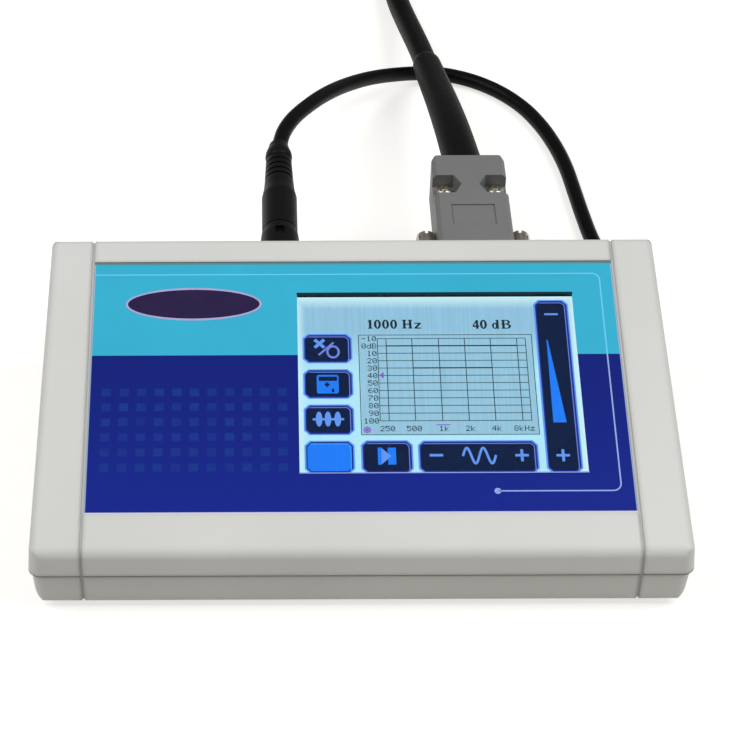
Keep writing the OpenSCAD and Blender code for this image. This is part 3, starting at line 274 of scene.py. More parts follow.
def ink(name, tint, above=None):
    """Screen-printing ink: an even satin film with a slight mottle. Over the upper field it may differ. It
    also carries the painted highlight and shadow at the window's edges.
    """
    material, add, place = new_material(name)
    skin = mottled(add, place, 0.003, shade(tint, 0.95), shade(tint, 1.04))
    if above:
        up = add("SeparateXYZ", [slope_place(add, place)], "Y")
        skin = between(add, up, skin, above, FIELD_EDGE_MM - 0.5, FIELD_EDGE_MM + 0.5)
    return finished(material, add, {
        "Base Color": skin,
        "Roughness": mottled(add, place, 0.003, 0.4, 0.5),
        "Specular IOR Level": 0.2,
    })


# What every part of the lit picture shares: a dark satin face that glows by itself
LIT_FACE = {"Base Color": "050607", "Roughness": 0.5, "Specular IOR Level": 0.05, "Emission Strength": 1.0}


def pixel_streaks(add, spot, width, run, detail):
    """Streaks along the columns of pixels, about width pixels across; run is how fast they change along."""
    columns = add("Mapping", {"Vector": spot, "Scale": (1 / (width * PIXEL_MM), run, 1.0)})
    return add("TexNoise", {"Vector": columns, "Scale": 1.0, "Detail": detail})


def lit(name, tint):
    """A part of a lit liquid-crystal picture: its columns of pixels differ a little."""
    material, add, place = new_material(name)
    streak = pixel_streaks(add, slope_place(add, place), 2, 0.03, 2.0)
    return finished(material, add, LIT_FACE | {
        "Emission Color": between(add, streak, shade(tint, 0.94), shade(tint, 1.06))})


def lit_ground(look):
    """The lit ground of the picture: greener inside the chart, and paler low down and along its edges,
    where the lamps of the backlight sit."""
    material, add, place = new_material("lit_crystal_ground")
    spot = slope_place(add, place)
    u, v, _ = add("SeparateXYZ", [spot]).node.outputs
    cu, cv = WINDOW_AT_MM
    edge = add("Math", (between(add, apart(add, u, cu), 0.0, 1.0, 33.0, 35.2),
                        between(add, v, 0.0, 1.0, cv + 23.4, cv + 27.0)), operation="MAXIMUM")
    inside = add("Math", (between(add, apart(add, u, cu + 2.3), 0.0, 1.0, 22.1, 21.5),
                          between(add, apart(add, v, cv + 0.6), 0.0, 1.0, 15.0, 14.5)), operation="MULTIPLY")
    streak = pixel_streaks(add, spot, 2.5, 0.05, 3.0)
    top = between(add, streak, shade(look.ground, 0.94), shade(look.ground, 1.05))
    outside = between(add, v, top, "B6EBFF", cv + 17.0, cv + 4.0)
    chart = between(add, streak, "94C2DA", "9FCDE6")
    middle = between(add, inside, outside, chart, 0.0, 1.0)
    return finished(material, add, LIT_FACE | {
        "Emission Color": between(add, edge, middle, "D2F6FE", 0.0, 1.0)})


def touch_glass():
    """The touch panel: a clear pane under a film that keeps its mirror weak, faintly dusty."""
    material, add, place = new_material("touch_panel_glass")
    return finished(material, add, {
        "Base Color": mottled(add, place, 0.0015, "F3FAFA", "FCFEFE", 5.0, 0.7),
        "Roughness": 0.0,
        "IOR": 1.22,
        "Specular IOR Level": 0.05,
        "Transmission Weight": 1.0,
    })


def jacket(name, tint, roughness, diameter):
    """A drawn PVC jacket: dark, with a soft sheen and the slow waves that drawing leaves."""
    material, add, place = new_material(name)
    waves = add("TexNoise", {"Vector": place, "Scale": 1 / (2.5 * diameter)})
    below = add("Bump", {"Height": waves, "Distance": 0.00012})
    return finished(material, add, {
        "Base Color": between(add, waves, shade(tint, 0.85), shade(tint, 1.25)),
        "Specular IOR Level": 0.11,
    } | grained(add, place, 0.0006, roughness - 0.06, roughness + 0.08, 0.000012, 4.0, 0.6, below))


def board_mask():
    """FR4 laminate under green solder mask: copper tracks 0.6 mm wide stand a little proud of it."""
    material, add, place = new_material("solder_mask_on_laminate")
    cells = add("TexVoronoi", {"Vector": slope_place(add, place), "Scale": 0.3}, "Distance",
                feature="DISTANCE_TO_EDGE")
    track = between(add, cells, 0.0, 1.0, 0.16, 0.1)
    return finished(material, add, {
        "Base Color": between(add, track, "1B5C34", "2F7A48", 0.0, 1.0),
        "Roughness": mottled(add, place, 0.002, 0.28, 0.4),
        "Normal": add("Bump", {"Height": track, "Distance": 0.00003}),
    })


def striped(name, first, second, pitch_mm, roughness):
    """A flat or woven band with stripes along X, pitch_mm apart."""
    material, add, place = new_material(name)
    turn = add("Math", (add("SeparateXYZ", [place], "X"), math.tau / (pitch_mm * MM)), operation="MULTIPLY")
    wave = add("Math", [turn], operation="SINE")
    return finished(material, add, {
        "Base Color": between(add, wave, first, second, -0.6, 0.9),
        "Roughness": mottled(add, place, 0.0008, roughness, roughness + 0.1),
        "Normal": add("Bump", {"Height": wave, "Distance": 0.00012}),
    })


# ---------- meshes ----------


def set_slot(made, slot):
    """Gives the faces round these points their material slot."""
    for face in {f for v in made for f in v.link_faces}:
        face.material_index = slot


def add_block(bm, low, high, slot=0, corner=0.0):
    """A block between two corners, its upright edges cut back by corner."""
    low, high = Vector(low), Vector(high)
    place = Matrix.Translation((low + high) / 2) @ Matrix.Diagonal((*(high - low), 1))
    made = bmesh.ops.create_cube(bm, size=1, matrix=place)["verts"]
    if corner:
        upright = [e for e in {e for v in made for e in v.link_edges}
                   if abs(e.verts[0].co.z - e.verts[1].co.z) > 0.5 * (high - low).z]
        cut = bmesh.ops.bevel(bm, geom=upright, offset=corner, offset_type="OFFSET", segments=1,
                              profile=0.5, affect="EDGES", material=-1, clamp_overlap=True)
        made = [v for v in made if v.is_valid] + cut["verts"]
    set_slot(made, slot)


def add_bar(bm, a, b, width, low, high, slot=0, reach=0.0):
    """A flat bar from a to b, run past both by reach."""
    a, b = Vector(a), Vector(b)
    way = b - a
    place = (Matrix.Translation((*((a + b) / 2), (low + high) / 2))
             @ Matrix.Rotation(math.atan2(way.y, way.x), 4, "Z")
             @ Matrix.Diagonal((way.length + 2 * reach, width, high - low, 1)))
    set_slot(bmesh.ops.create_cube(bm, size=1, matrix=place)["verts"], slot)


def add_disc(bm, centre, across, along, low, high, slot=0, segments=40):
    """A flat disc or oval with the two radii given."""
    place = Matrix.Translation((*centre, (low + high) / 2)) @ Matrix.Diagonal((across, along, high - low, 1))
    set_slot(bmesh.ops.create_cone(bm, cap_ends=True, segments=segments, radius1=1, radius2=1, depth=1,
                                   matrix=place)["verts"], slot)


def add_ring(bm, centre, outer, inner, low, high, slot=0, start=0.0, turn=math.tau, segments=40):
    """A flat ring, or a part of one, between two ovals, each given as its two radii."""
    # It is spun between radii of 1 and 2, which then give way to the ovals
    before = set(bm.verts)
    spots = [bm.verts.new((r, 0, z)) for r, z in ((1, low), (1, high), (2, high), (2, low))]
    face = bm.faces.new(spots)
    full = turn >= math.tau
    bmesh.ops.spin(bm, geom=[face, *face.edges, *spots], cent=(0, 0, 0), axis=(0, 0, 1), dvec=(0, 0, 0),
                   angle=turn, steps=max(3, round(segments * turn / math.tau)), use_merge=full,
                   use_duplicate=False)
    made = [v for v in bm.verts if v not in before]
    if full:
        # The face that was spun stays inside a whole ring, and goes
        inside = [f for f in {f for v in made for f in v.link_faces}
                  if all(abs(v.co.y) < 1e-6 for v in f.verts)]
        bmesh.ops.delete(bm, geom=inside, context="FACES_ONLY")
    for v in made:
        radii = inner if math.hypot(v.co.x, v.co.y) < 1.5 else outer
        way = math.atan2(v.co.y, v.co.x) + start
        v.co = Vector((centre[0] + radii[0] * math.cos(way), centre[1] + radii[1] * math.sin(way), v.co.z))
    set_slot(made, slot)


def raised_shape(bm, outline, low, high, slot):
    """A flat shape with the given outline, raised from low to high."""
    spots = [bm.verts.new((u, v, low)) for u, v in outline]
    made = bmesh.ops.extrude_face_region(bm, geom=[bm.faces.new(spots)])["geom"]
    raised = [v for v in made if isinstance(v, bmesh.types.BMVert)]
    bmesh.ops.translate(bm, verts=raised, vec=(0, 0, high - low))
    set_slot(spots + raised, slot)


def inset_line(corners, radii, depth):
    """An open line moved depth to its right, its inner corners rounded by the radii less depth."""
    corners = [Vector(c) for c in corners]
    ways = [(b - a).normalized() for a, b in zip(corners, corners[1:])]
    sides = [Vector((way.y, -way.x)) for way in ways]
    line = [corners[0] + sides[0] * depth]
    for at, radius, first, second in zip(corners[1:], radii, sides, sides[1:]):
        middle = (first + second).normalized()
        spot = at + middle * max(radius, depth) / middle.dot(first)
        steps = 8 if radius > depth else 0
        for k in range(steps + 1):
            way = first.lerp(second, k / max(1, steps)).normalized()
            line.append(spot - way * max(0.0, radius - depth))
    return line + [corners[-1] + sides[-1] * depth]


def finish_piece(bm, name, materials, place, smooth=False):
    """Turns a bmesh into a finished piece that rides on the instrument."""
    bmesh.ops.transform(bm, matrix=place, verts=bm.verts)
    bmesh.ops.recalc_face_normals(bm, faces=bm.faces)
    mesh = bpy.data.meshes.new(name)
    bm.to_mesh(mesh)
    bm.free()
    for polygon in mesh.polygons:
        polygon.use_smooth = smooth
    for material in materials:
        mesh.materials.append(material)
    return place_piece(name, mesh)


def place_piece(name, data):
    """A new piece in the scene, which rides on the instrument and takes its finish from the slot."""
    piece = bpy.data.objects.new(name, data)
    bpy.context.scene.collection.objects.link(piece)
    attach(piece, BODY)
    return piece


def dress(names, material):
    """Gives CAD nodes their finish."""
    for name in names:
        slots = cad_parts[name].data.materials
        slots.clear()
        slots.append(material)


# ---------- routes of the two leads, as part.scad has them ----------


def smooth_line(points_mm, step):
    """A smooth curve through the points, as points about step apart."""
    points = [Vector(p) * MM for p in points_mm]
    ends = [2 * points[0] - points[1], *points, 2 * points[-1] - points[-2]]
    line = []
    for a, b, c, d in zip(ends, ends[1:], ends[2:], ends[3:]):
        t1 = (b - a).length ** 0.5
        t2 = t1 + (c - b).length ** 0.5
        t3 = t2 + (d - c).length ** 0.5
        count = max(1, round((c - b).length / step))
        for i in range(count):
            t = t1 + (t2 - t1) * i / count
            p = (a * (t1 - t) + b * t) / t1
            q = (b * (t2 - t) + c * (t - t1)) / (t2 - t1)
            r = (c * (t3 - t) + d * (t - t2)) / (t3 - t2)
            s = (p * (t2 - t) + q * t) / t2
            w = (q * (t3 - t) + r * (t - t1)) / (t3 - t1)
            line.append((s * (t2 - t) + w * (t - t1)) / (t2 - t1))
    return line + [points[-1]]


# The headset lead's boot starts inside the hood. It is straight at first, then tapers to its lip.
BOOT_MM = [(33.2, 83.6, 27.3)]
BOOT_RADIUS, BOOT_END_RADIUS, BOOT_STRAIGHT, BOOT_LIP = 0.0054, 0.0042, 0.06, 0.0004
SLEEVE_MM = [(33.2, 87.4, 27.3), (33.2, 89.4, 27.3), (32.4, 97, 27.1), (31.2, 109, 26.2), (30.1, 121, 24.2),
             (29.1, 132, 21.8), (28, 143, 19.3), (27.1, 152, 17.3), (26.5, 158, 15.9)]
HEADSET_MM = [(25.4, 168, 13.8), (24, 180, 11), (22.5, 192.5, 8), (21, 205, 5.5), (19.6, 218, 4.2),
              (18.2, 232, 4), (17, 246, 4.2), (16.2, 259, 4.3)]
TAIL_MM = [(-12, 25.6), (-2, 22.6), (7, 18.6), (16, 13.8), (23.5, 9.8), (30, 7.5), (37.5, 7.5)]
COIL_CENTRE_MM = (-29, 280)
COIL_R_MM, COIL_STEP_MM, COIL_RISE_MM, COIL_LOW_MM = 38.5, 7.6, 7.5, 4.4
COIL_TURNS, COIL_LAYERS, COIL_STEPS, COIL_LEAD_IN_MM = 6.75, 4, 48, 7
POWER_MM = [(-18.1, 100.6, 27.3), (-18.1, 102.4, 27.3), (-17.2, 107.6, 27.3), (-14.5, 115, 26.7),
            (-9, 126, 24.2), (-3.5, 136, 20.9), (2.5, 146, 16.6), (9.5, 155.5, 12), (17, 163.5, 7.5),
            (25, 169, 4.1),
            (33, 170.5, 2.6), (42, 167.5, 2.2), (50, 161.5, 2.2), (56.5, 153.5, 2.2), (61, 144.5, 2.2),
            (64.3, 134.5, 2.2), (66.5, 124, 2.2), (67.8, 113, 2.2), (69, 102, 2.2), (70.5, 91, 2.2),
            (72.8, 80, 2.5)]
POWER_TAIL_MM = [(-22, 46.1, 7.8), (-28, 47, 7), (-33, 48.8, 5.8), (-38.5, 50, 4.9)]
HANK_R_MM, HANK_STEP_MM, HANK_RISE_MM, HANK_LOW_MM = 18.6, 4.9, 4.82, 3.1
HANK_RUNS, HANK_RIGHT_MM, HANK_LEFT_MM, HANK_MID_MM, HANK_LEAD_IN_MM = 7, 54.5, -14.5, 64.0, 4.4
HANK_STEPS = 12


def coil_point(turns):
    """A point of the coil, which winds in and out again and climbs a layer where it turns round."""
    a_layer = COIL_TURNS / COIL_LAYERS
    swing = a_layer * COIL_STEP_MM
    layer = turns / a_layer
    zigzag = abs((layer + 1) % 2 - 1)
    r = COIL_R_MM - swing / 2 + swing * (1 - zigzag)
    turn_round = math.floor(layer + 0.5)
    # The climb takes a quarter of a turn on each side of where the winding turns round
    part = max(-1.0, min(1.0, (layer - turn_round) * a_layer / 0.25))
    level = max(0, min(COIL_LAYERS - 1, turn_round - 0.5 + part / 2))
    way = math.tau * turns
    return (COIL_CENTRE_MM[0] + r * math.cos(way), COIL_CENTRE_MM[1] + r * math.sin(way),
            COIL_LOW_MM + COIL_RISE_MM * level)


def hank_points():
    """The hank's runs along X, drawn in at the waist, and its folds."""
    def offset(k):
        return (-1 if k % 2 == 0 else 1) * (HANK_R_MM - HANK_STEP_MM * min(k, HANK_RUNS - 1 - k) / 2)

    def level(k, t):
        return HANK_LOW_MM + HANK_RISE_MM * (0 if k < 3 else t if k == 3 else 1)

    drawn = HANK_R_MM - 1.75 * HANK_STEP_MM
    entry = HANK_R_MM + HANK_STEP_MM / 4
    near = HANK_MID_MM - HANK_R_MM
    points = [(HANK_RIGHT_MM + entry * math.cos(a), near + entry - entry * math.sin(a), HANK_LOW_MM)
              for a in (math.radians(11.25 * i) for i in range(8))]
    for k in range(HANK_RUNS):
        side = math.copysign(1, offset(k))
        start, way = (HANK_RIGHT_MM, -1) if k % 2 == 0 else (HANK_LEFT_MM, 1)
        run = HANK_RIGHT_MM - HANK_LEFT_MM
        for i in range(HANK_STEPS + 1):
            t = i / HANK_STEPS
            in_by = side * drawn * (1 - math.cos(math.tau * t)) / 2
            points.append((start + way * run * t, HANK_MID_MM + offset(k) - in_by, level(k, t)))
        if k < HANK_RUNS - 1:
            a, b = offset(k), offset(k + 1)
            for i in range(1, HANK_STEPS):
                turn = math.pi * i / HANK_STEPS
                points.append((start + way * run + way * abs(b - a) / 2 * math.sin(turn),
                               HANK_MID_MM + (a + b) / 2 + (a - b) / 2 * math.cos(turn), level(k, 1)))
    return points


def headset_line():
    coil = [coil_point(i / COIL_STEPS) for i in range(round(COIL_TURNS * COIL_STEPS) + 1)]
    first = (coil[0][0], coil[0][1] - COIL_LEAD_IN_MM, coil[0][2])
    last = (coil[-1][0] + COIL_LEAD_IN_MM, coil[-1][1], coil[-1][2])
    tail = [(x, coil[-1][1], z) for x, z in TAIL_MM]
    return SLEEVE_MM + HEADSET_MM + [first] + coil + [last] + tail


def power_line():
    hank = hank_points()
    first = (hank[0][0], hank[0][1] + HANK_LEAD_IN_MM, hank[0][2])
    last = (hank[-1][0] - HANK_LEAD_IN_MM, hank[-1][1], hank[-1][2])
    return POWER_MM + [first] + hank + [last] + POWER_TAIL_MM


def lead_curve(name, points_mm, diameter, material):
    """A free lead as a round curve along its route."""
    line = smooth_line(points_mm, 0.0016)
    curve = bpy.data.curves.new(name, "CURVE")
    curve.dimensions = "3D"
    curve.bevel_depth = diameter / 2
    curve.bevel_resolution = 5
    curve.use_fill_caps = True
    spline = curve.splines.new("POLY")
    spline.points.add(len(line) - 1)
    for point, at in zip(spline.points, line):
        point.co = (*at, 1)
    spline.use_smooth = True
    curve.materials.append(material)
    return place_piece(name, curve), sum((b - a).length for a, b in zip(line, line[1:]))


def sleeve_mesh(bm, line, radii, sides=40):
    """A tube through the line's points, each with its own radius, closed at both ends."""
    across = (line[1] - line[0]).cross(Vector((0, 0, 1))).normalized()
    loops = []
    for i, at in enumerate(line):
        way = (line[min(i + 1, len(line) - 1)] - line[max(i - 1, 0)]).normalized()
        across = (across - way * across.dot(way)).normalized()
        place = Matrix.Translation(at) @ Matrix((across, way.cross(across), way)).transposed().to_4x4()
        made = bmesh.ops.create_circle(bm, cap_ends=False, segments=sides, radius=radii[i], matrix=place)
        loops.append(list({e for v in made["verts"] for e in v.link_edges}))
    for a, b in zip(loops, loops[1:]):
        bmesh.ops.bridge_loops(bm, edges=a + b)
    for loop in (loops[0], loops[-1]):
        bmesh.ops.holes_fill(bm, edges=loop, sides=sides)


# ---------- the picture on the screen ----------

# All places on the screen are millimetres right of and above the middle of its window.
# Small figures of five by seven pixels, one row a pair of hex digits
SMALL = {
    "0": "0E11131519110E", "1": "040C040404040E", "2": "0E11010204081F", "3": "0E11010601110E",
    "4": "02060A121F0202", "5": "1F101E0101110E", "6": "0608101E11110E", "7": "1F010204080808",
    "8": "0E11110E11110E", "9": "0E11110F01020C", "-": "0000001F000000", "d": "01010D1311110F",
    "B": "1E11111E11111E", "k": "10101214181412", "H": "1111111F111111", "z": "00001F0204081F",
}
SMALL_WIDE, SMALL_TALL = 5, 7

# Bold figures with serifs, in parts of their height: how wide each is, its rings (middle, outer radii,
# inner radii) and its bars (from, to, width)
BOLD = {
    "0": (0.76, ((0.32, 0.5, 0.33, 0.52, 0.1, 0.38),), ()),
    "1": (0.6, (), ((0.24, 0, 0.24, 1, 0.24), (0.02, 0.82, 0.22, 0.94, 0.1), (0.02, 0.05, 0.46, 0.05, 0.1))),
    "4": (0.72, (), ((0.44, 0, 0.44, 1, 0.22), (0.02, 0.29, 0.64, 0.29, 0.16),
                     (0.05, 0.32, 0.4, 0.93, 0.11))),
    "H": (1.1, (), ((0.2, 0, 0.2, 1, 0.24), (0, 0.05, 0.4, 0.05, 0.1), (0, 0.95, 0.4, 0.95, 0.1),
                    (0.76, 0, 0.76, 1, 0.24), (0.56, 0.05, 0.96, 0.05, 0.1), (0.56, 0.95, 0.96, 0.95, 0.1),
                    (0.2, 0.5, 0.76, 0.5, 0.12))),
    "z": (0.7, (), ((0.04, 0.05, 0.66, 0.05, 0.12), (0.04, 0.6, 0.66, 0.6, 0.12),
                    (0.14, 0.07, 0.56, 0.58, 0.2))),
    "d": (0.86, ((0.27, 0.33, 0.28, 0.35, 0.09, 0.25),),
          ((0.52, 0, 0.52, 1, 0.22), (0.36, 0.96, 0.52, 0.96, 0.08), (0.52, 0.04, 0.68, 0.04, 0.08))),
    "B": (0.95, ((0.5, 0.755, 0.34, 0.245, 0.13, 0.15), (0.52, 0.28, 0.4, 0.28, 0.17, 0.18)),
          ((0.21, 0, 0.21, 1, 0.23), (0.02, 0.05, 0.52, 0.05, 0.1), (0.02, 0.52, 0.52, 0.52, 0.1),
           (0.02, 0.95, 0.52, 0.95, 0.1))),
    " ": (0.36, (), ()),
}
BOLD_TALL_MM = 2.7

# The picture's material slots, and its layers from the glass up
GROUND, INK, DARK_INK, GLOW, KEY_EDGE, KEY, LIT_KEY, PALE_LINE, MARK, LIT_EDGE = range(10)
LEVELS_MM = [GLASS_FACE_MM + 0.02 * k for k in range(9)]

# Two corners of each key, and the key that is lit
KEYS_MM = ((-33.75, 6.9, -21.25, 15.8), (-33.75, -3.65, -21.25, 5.15), (-33.75, -14.2, -21.25, -5.3),
           (-33.7, -25.2, -21.4, -15.8), (-19.9, -25.2, -7.15, -15.75), (-5.95, -25.2, 23.5, -15.85),
           (25.2, -25.2, 34.05, 26.0))
KEY_THAT_IS_LIT = 3
# The layers of a key: how far each lies in from the left, foot, right and top, and how far its corners
# are cut back
KEY_LAYERS_MM = ((0, 0, 0, 0, 1.3), (0.42, 0.3, 0.36, 0.34, 1.2), (0.75, 0.7, 0.8, 0.8, 0.95))

# The chart: its frame, the field of its lines, where they cross it, and the words beside them
CHART_FRAME_MM = ((-19.6, 15.4), (24.1, 15.4), (24.1, -14.15), (-19.6, -14.15))
CHART_LEFT_MM, CHART_RIGHT_MM = -14.87, 22.5
CHART_ROWS_MM = [14.3 - 2.221 * k for k in range(12)]
CHART_COLUMNS_MM = (-12.66, -6.15, 0.55, 7.1, 13.63, 20.3)
ROW_WORDS = ("-10", "0dB", "10", "20", "30", "40", "50", "60", "70", "80", "90", "100")
COLUMN_WORDS = ((-15.0, "250"), (-8.4, "500"), (-0.4, "1k"), (6.1, "2k"), (12.6, "4k"), (18.0, "8kHz"))
COLUMN_WORDS_FOOT_MM = -13.15
SMALL_MARK_MM = (-18.15, -12.75)


def small_words(bm, words, left, base):
    """Small figures drawn in pixels, from the left, standing on base. A run of pixels is one block."""
    for n, letter in enumerate(words):
        for r in range(SMALL_TALL):
            bits = format(int(SMALL[letter][2 * r:2 * r + 2], 16), "05b") + "0"
            y = base + (SMALL_TALL - 1 - r) * PIXEL_MM
            start = bits.find("1")
            while start >= 0:
                end = bits.find("0", start)
                x0, x1 = (left + ((SMALL_WIDE + 1) * n + c) * PIXEL_MM for c in (start, end))
                add_block(bm, (x0, y, LEVELS_MM[1]), (x1, y + PIXEL_MM, LEVELS_MM[2]), DARK_INK)
                start = bits.find("1", end)


def bold_words(bm, words, left, base):
    """Bold figures with serifs, from the left, standing on base."""
    tall, low, high = BOLD_TALL_MM, LEVELS_MM[1], LEVELS_MM[2]
    for letter in words:
        wide, rings, bars = BOLD[letter]
        # The rings of a B are right halves
        start, turn = (-math.pi / 2, math.pi) if letter == "B" else (0.0, math.tau)
        for u, v, *radii in rings:
            radii = [r * tall for r in radii]
            add_ring(bm, (left + u * tall, base + v * tall), radii[:2], radii[2:], low, high, DARK_INK,
                     start, turn)
        for u0, v0, u1, v1, width in bars:
            add_bar(bm, (left + u0 * tall, base + v0 * tall), (left + u1 * tall, base + v1 * tall),
                    width * tall, low, high, DARK_INK)
        left += wide * tall


def screen_key(bm, u0, v0, u1, v1, lit_up):
    """A key on the screen: a glowing edge, a blue band, the key's face, and a light line at its top and
    right."""
    slots = (LIT_EDGE, KEY_EDGE, LIT_KEY) if lit_up else (GLOW, KEY_EDGE, KEY)
    for k, (left, foot, right, top, corner) in enumerate(KEY_LAYERS_MM):
        add_block(bm, (u0 + left, v0 + foot, LEVELS_MM[1]), (u1 - right, v1 - top, LEVELS_MM[2 + k]),
                  slots[k], corner)
    top, right, cut = v1 - 0.95, u1 - 0.95, 0.8
    line = ((u0 + 1.6, top), (right - cut, top), (right, top - cut), (right, v0 + 0.9))
    for a, b in zip(line, line[1:]):
        add_bar(bm, a, b, 0.2, LEVELS_MM[1], LEVELS_MM[5], LIT_EDGE if lit_up else PALE_LINE, 0.06)


def picture_signs(bm):
    """The signs on the keys."""
    low, high, above = LEVELS_MM[1], LEVELS_MM[6], LEVELS_MM[7]

    def bar(a, b, width, slot=GLOW, reach=0.0):
        add_bar(bm, a, b, width, low, high, slot, reach)

    # A cross and a ring, one on each side of a slash
    bar((-30.7, 14.0), (-28.3, 11.6), 0.85)
    bar((-30.7, 11.6), (-28.3, 14.0), 0.85)
    bar((-29.7, 9.4), (-25.9, 13.15), 0.5, PALE_LINE)
    add_ring(bm, (-26.1, 10.3), (1.7, 1.95), (1.15, 1.4), low, high, PALE_LINE)
    # A disk with its label, hub and notch
    add_block(bm, (-30.35, -2.1, low), (-24.9, 3.4, high), LIT_KEY, 0.35)
    add_block(bm, (-29.85, 1.6, low), (-25.3, 2.85, above), KEY)
    add_disc(bm, (-27.8, 0.5), 0.68, 0.8, low, above, KEY, 4)
    add_block(bm, (-26.65, -1.75, low), (-26.05, -0.7, above), KEY)
    # Three ovals on a line
    bar((-31.55, -9.65), (-23.8, -9.65), 0.6)
    for u in (-29.97, -27.77, -25.35):
        add_disc(bm, (u, -9.6), 0.82, 2.15, low, above, GLOW, 24)
    # A triangle between two bars
    for u, half in ((-15.35, 0.45), (-12.35, 1.0)):
        add_block(bm, (u - half, -22.7, low), (u + half, -17.9, high), LIT_KEY)
    raised_shape(bm, ((-14.9, -22.6), (-12.5, -20.3), (-14.9, -18.0)), low, above, GLOW)
    # A minus, a wave of two periods and a plus; a minus, a rising wedge and a plus
    bar((-3.15, -20.1), (0.15, -20.1), 0.7)
    bar((27.85, 21.55), (31.3, 21.55), 0.55)
    for u, v in ((19.4, -20.2), (29.45, -20.25)):
        bar((u - 1.65, v), (u + 1.65, v), 0.68)
        bar((u, v - 1.7), (u, v + 1.7), 0.68)
    wave = [(5.0 + k / 6, -20.25 + 2.2 * math.sin(math.tau * k / 24)) for k in range(49)]
    for a, b in zip(wave, wave[1:]):
        bar(a, b, 0.6, GLOW, 0.12)
    raised_shape(bm, ((27.75, -10.8), (31.05, -10.8), (28.1, 13.7), (27.85, 13.7)), low, high, LIT_KEY)


def picture_chart(bm):
    """The chart: its frame, its lines, the small figures beside them and its marks."""
    low, thin, thick = LEVELS_MM[1:4]
    rows, columns, left, right = CHART_ROWS_MM, CHART_COLUMNS_MM, CHART_LEFT_MM, CHART_RIGHT_MM
    frame_lines = list(zip(CHART_FRAME_MM, CHART_FRAME_MM[1:] + CHART_FRAME_MM[:1]))
    for a, b in frame_lines + [((u, rows[0]), (u, rows[-1])) for u in (left, right)]:
        add_bar(bm, a, b, 0.2, low, thin, INK, 0.1)
    for v in rows:
        add_bar(bm, (left, v), (right, v), 0.2, low, thin, INK)
    for u in columns:
        add_bar(bm, (u, rows[0]), (u, rows[-1]), 0.22, low, thick, INK)
    for first, last, row in ((0, 5, 1), (1, 4, 4)):
        add_bar(bm, (columns[first], rows[row]), (columns[last], rows[row]), 0.34, low, thick, DARK_INK)
    for v, words in zip(rows, ROW_WORDS):
        wide = ((SMALL_WIDE + 1) * len(words) - 1) * PIXEL_MM
        small_words(bm, words, left - 0.3 - wide, v - SMALL_TALL / 2 * PIXEL_MM)
    for u, words in COLUMN_WORDS:
        small_words(bm, words, u, COLUMN_WORDS_FOOT_MM)
    # The marks: a line over 1k, an arrow at 40 and a spoked ring in the corner
    add_bar(bm, (-1.1, -11.35), (2.4, -11.35), 0.24, low, thick, MARK)
    raised_shape(bm, ((-14.65, 3.25), (-13.6, 2.25), (-13.6, 4.25)), low, LEVELS_MM[4], MARK)
    for k in range(4):
        spoke = Matrix.Rotation(math.pi * k / 4, 2) @ Vector((1.1, 0))
        add_bar(bm, Vector(SMALL_MARK_MM) - spoke, Vector(SMALL_MARK_MM) + spoke, 0.2, low, thick, MARK)
    add_ring(bm, SMALL_MARK_MM, (0.85, 0.85), (0.6, 0.6), low, thick, MARK, segments=16)


# ---------- operators ----------


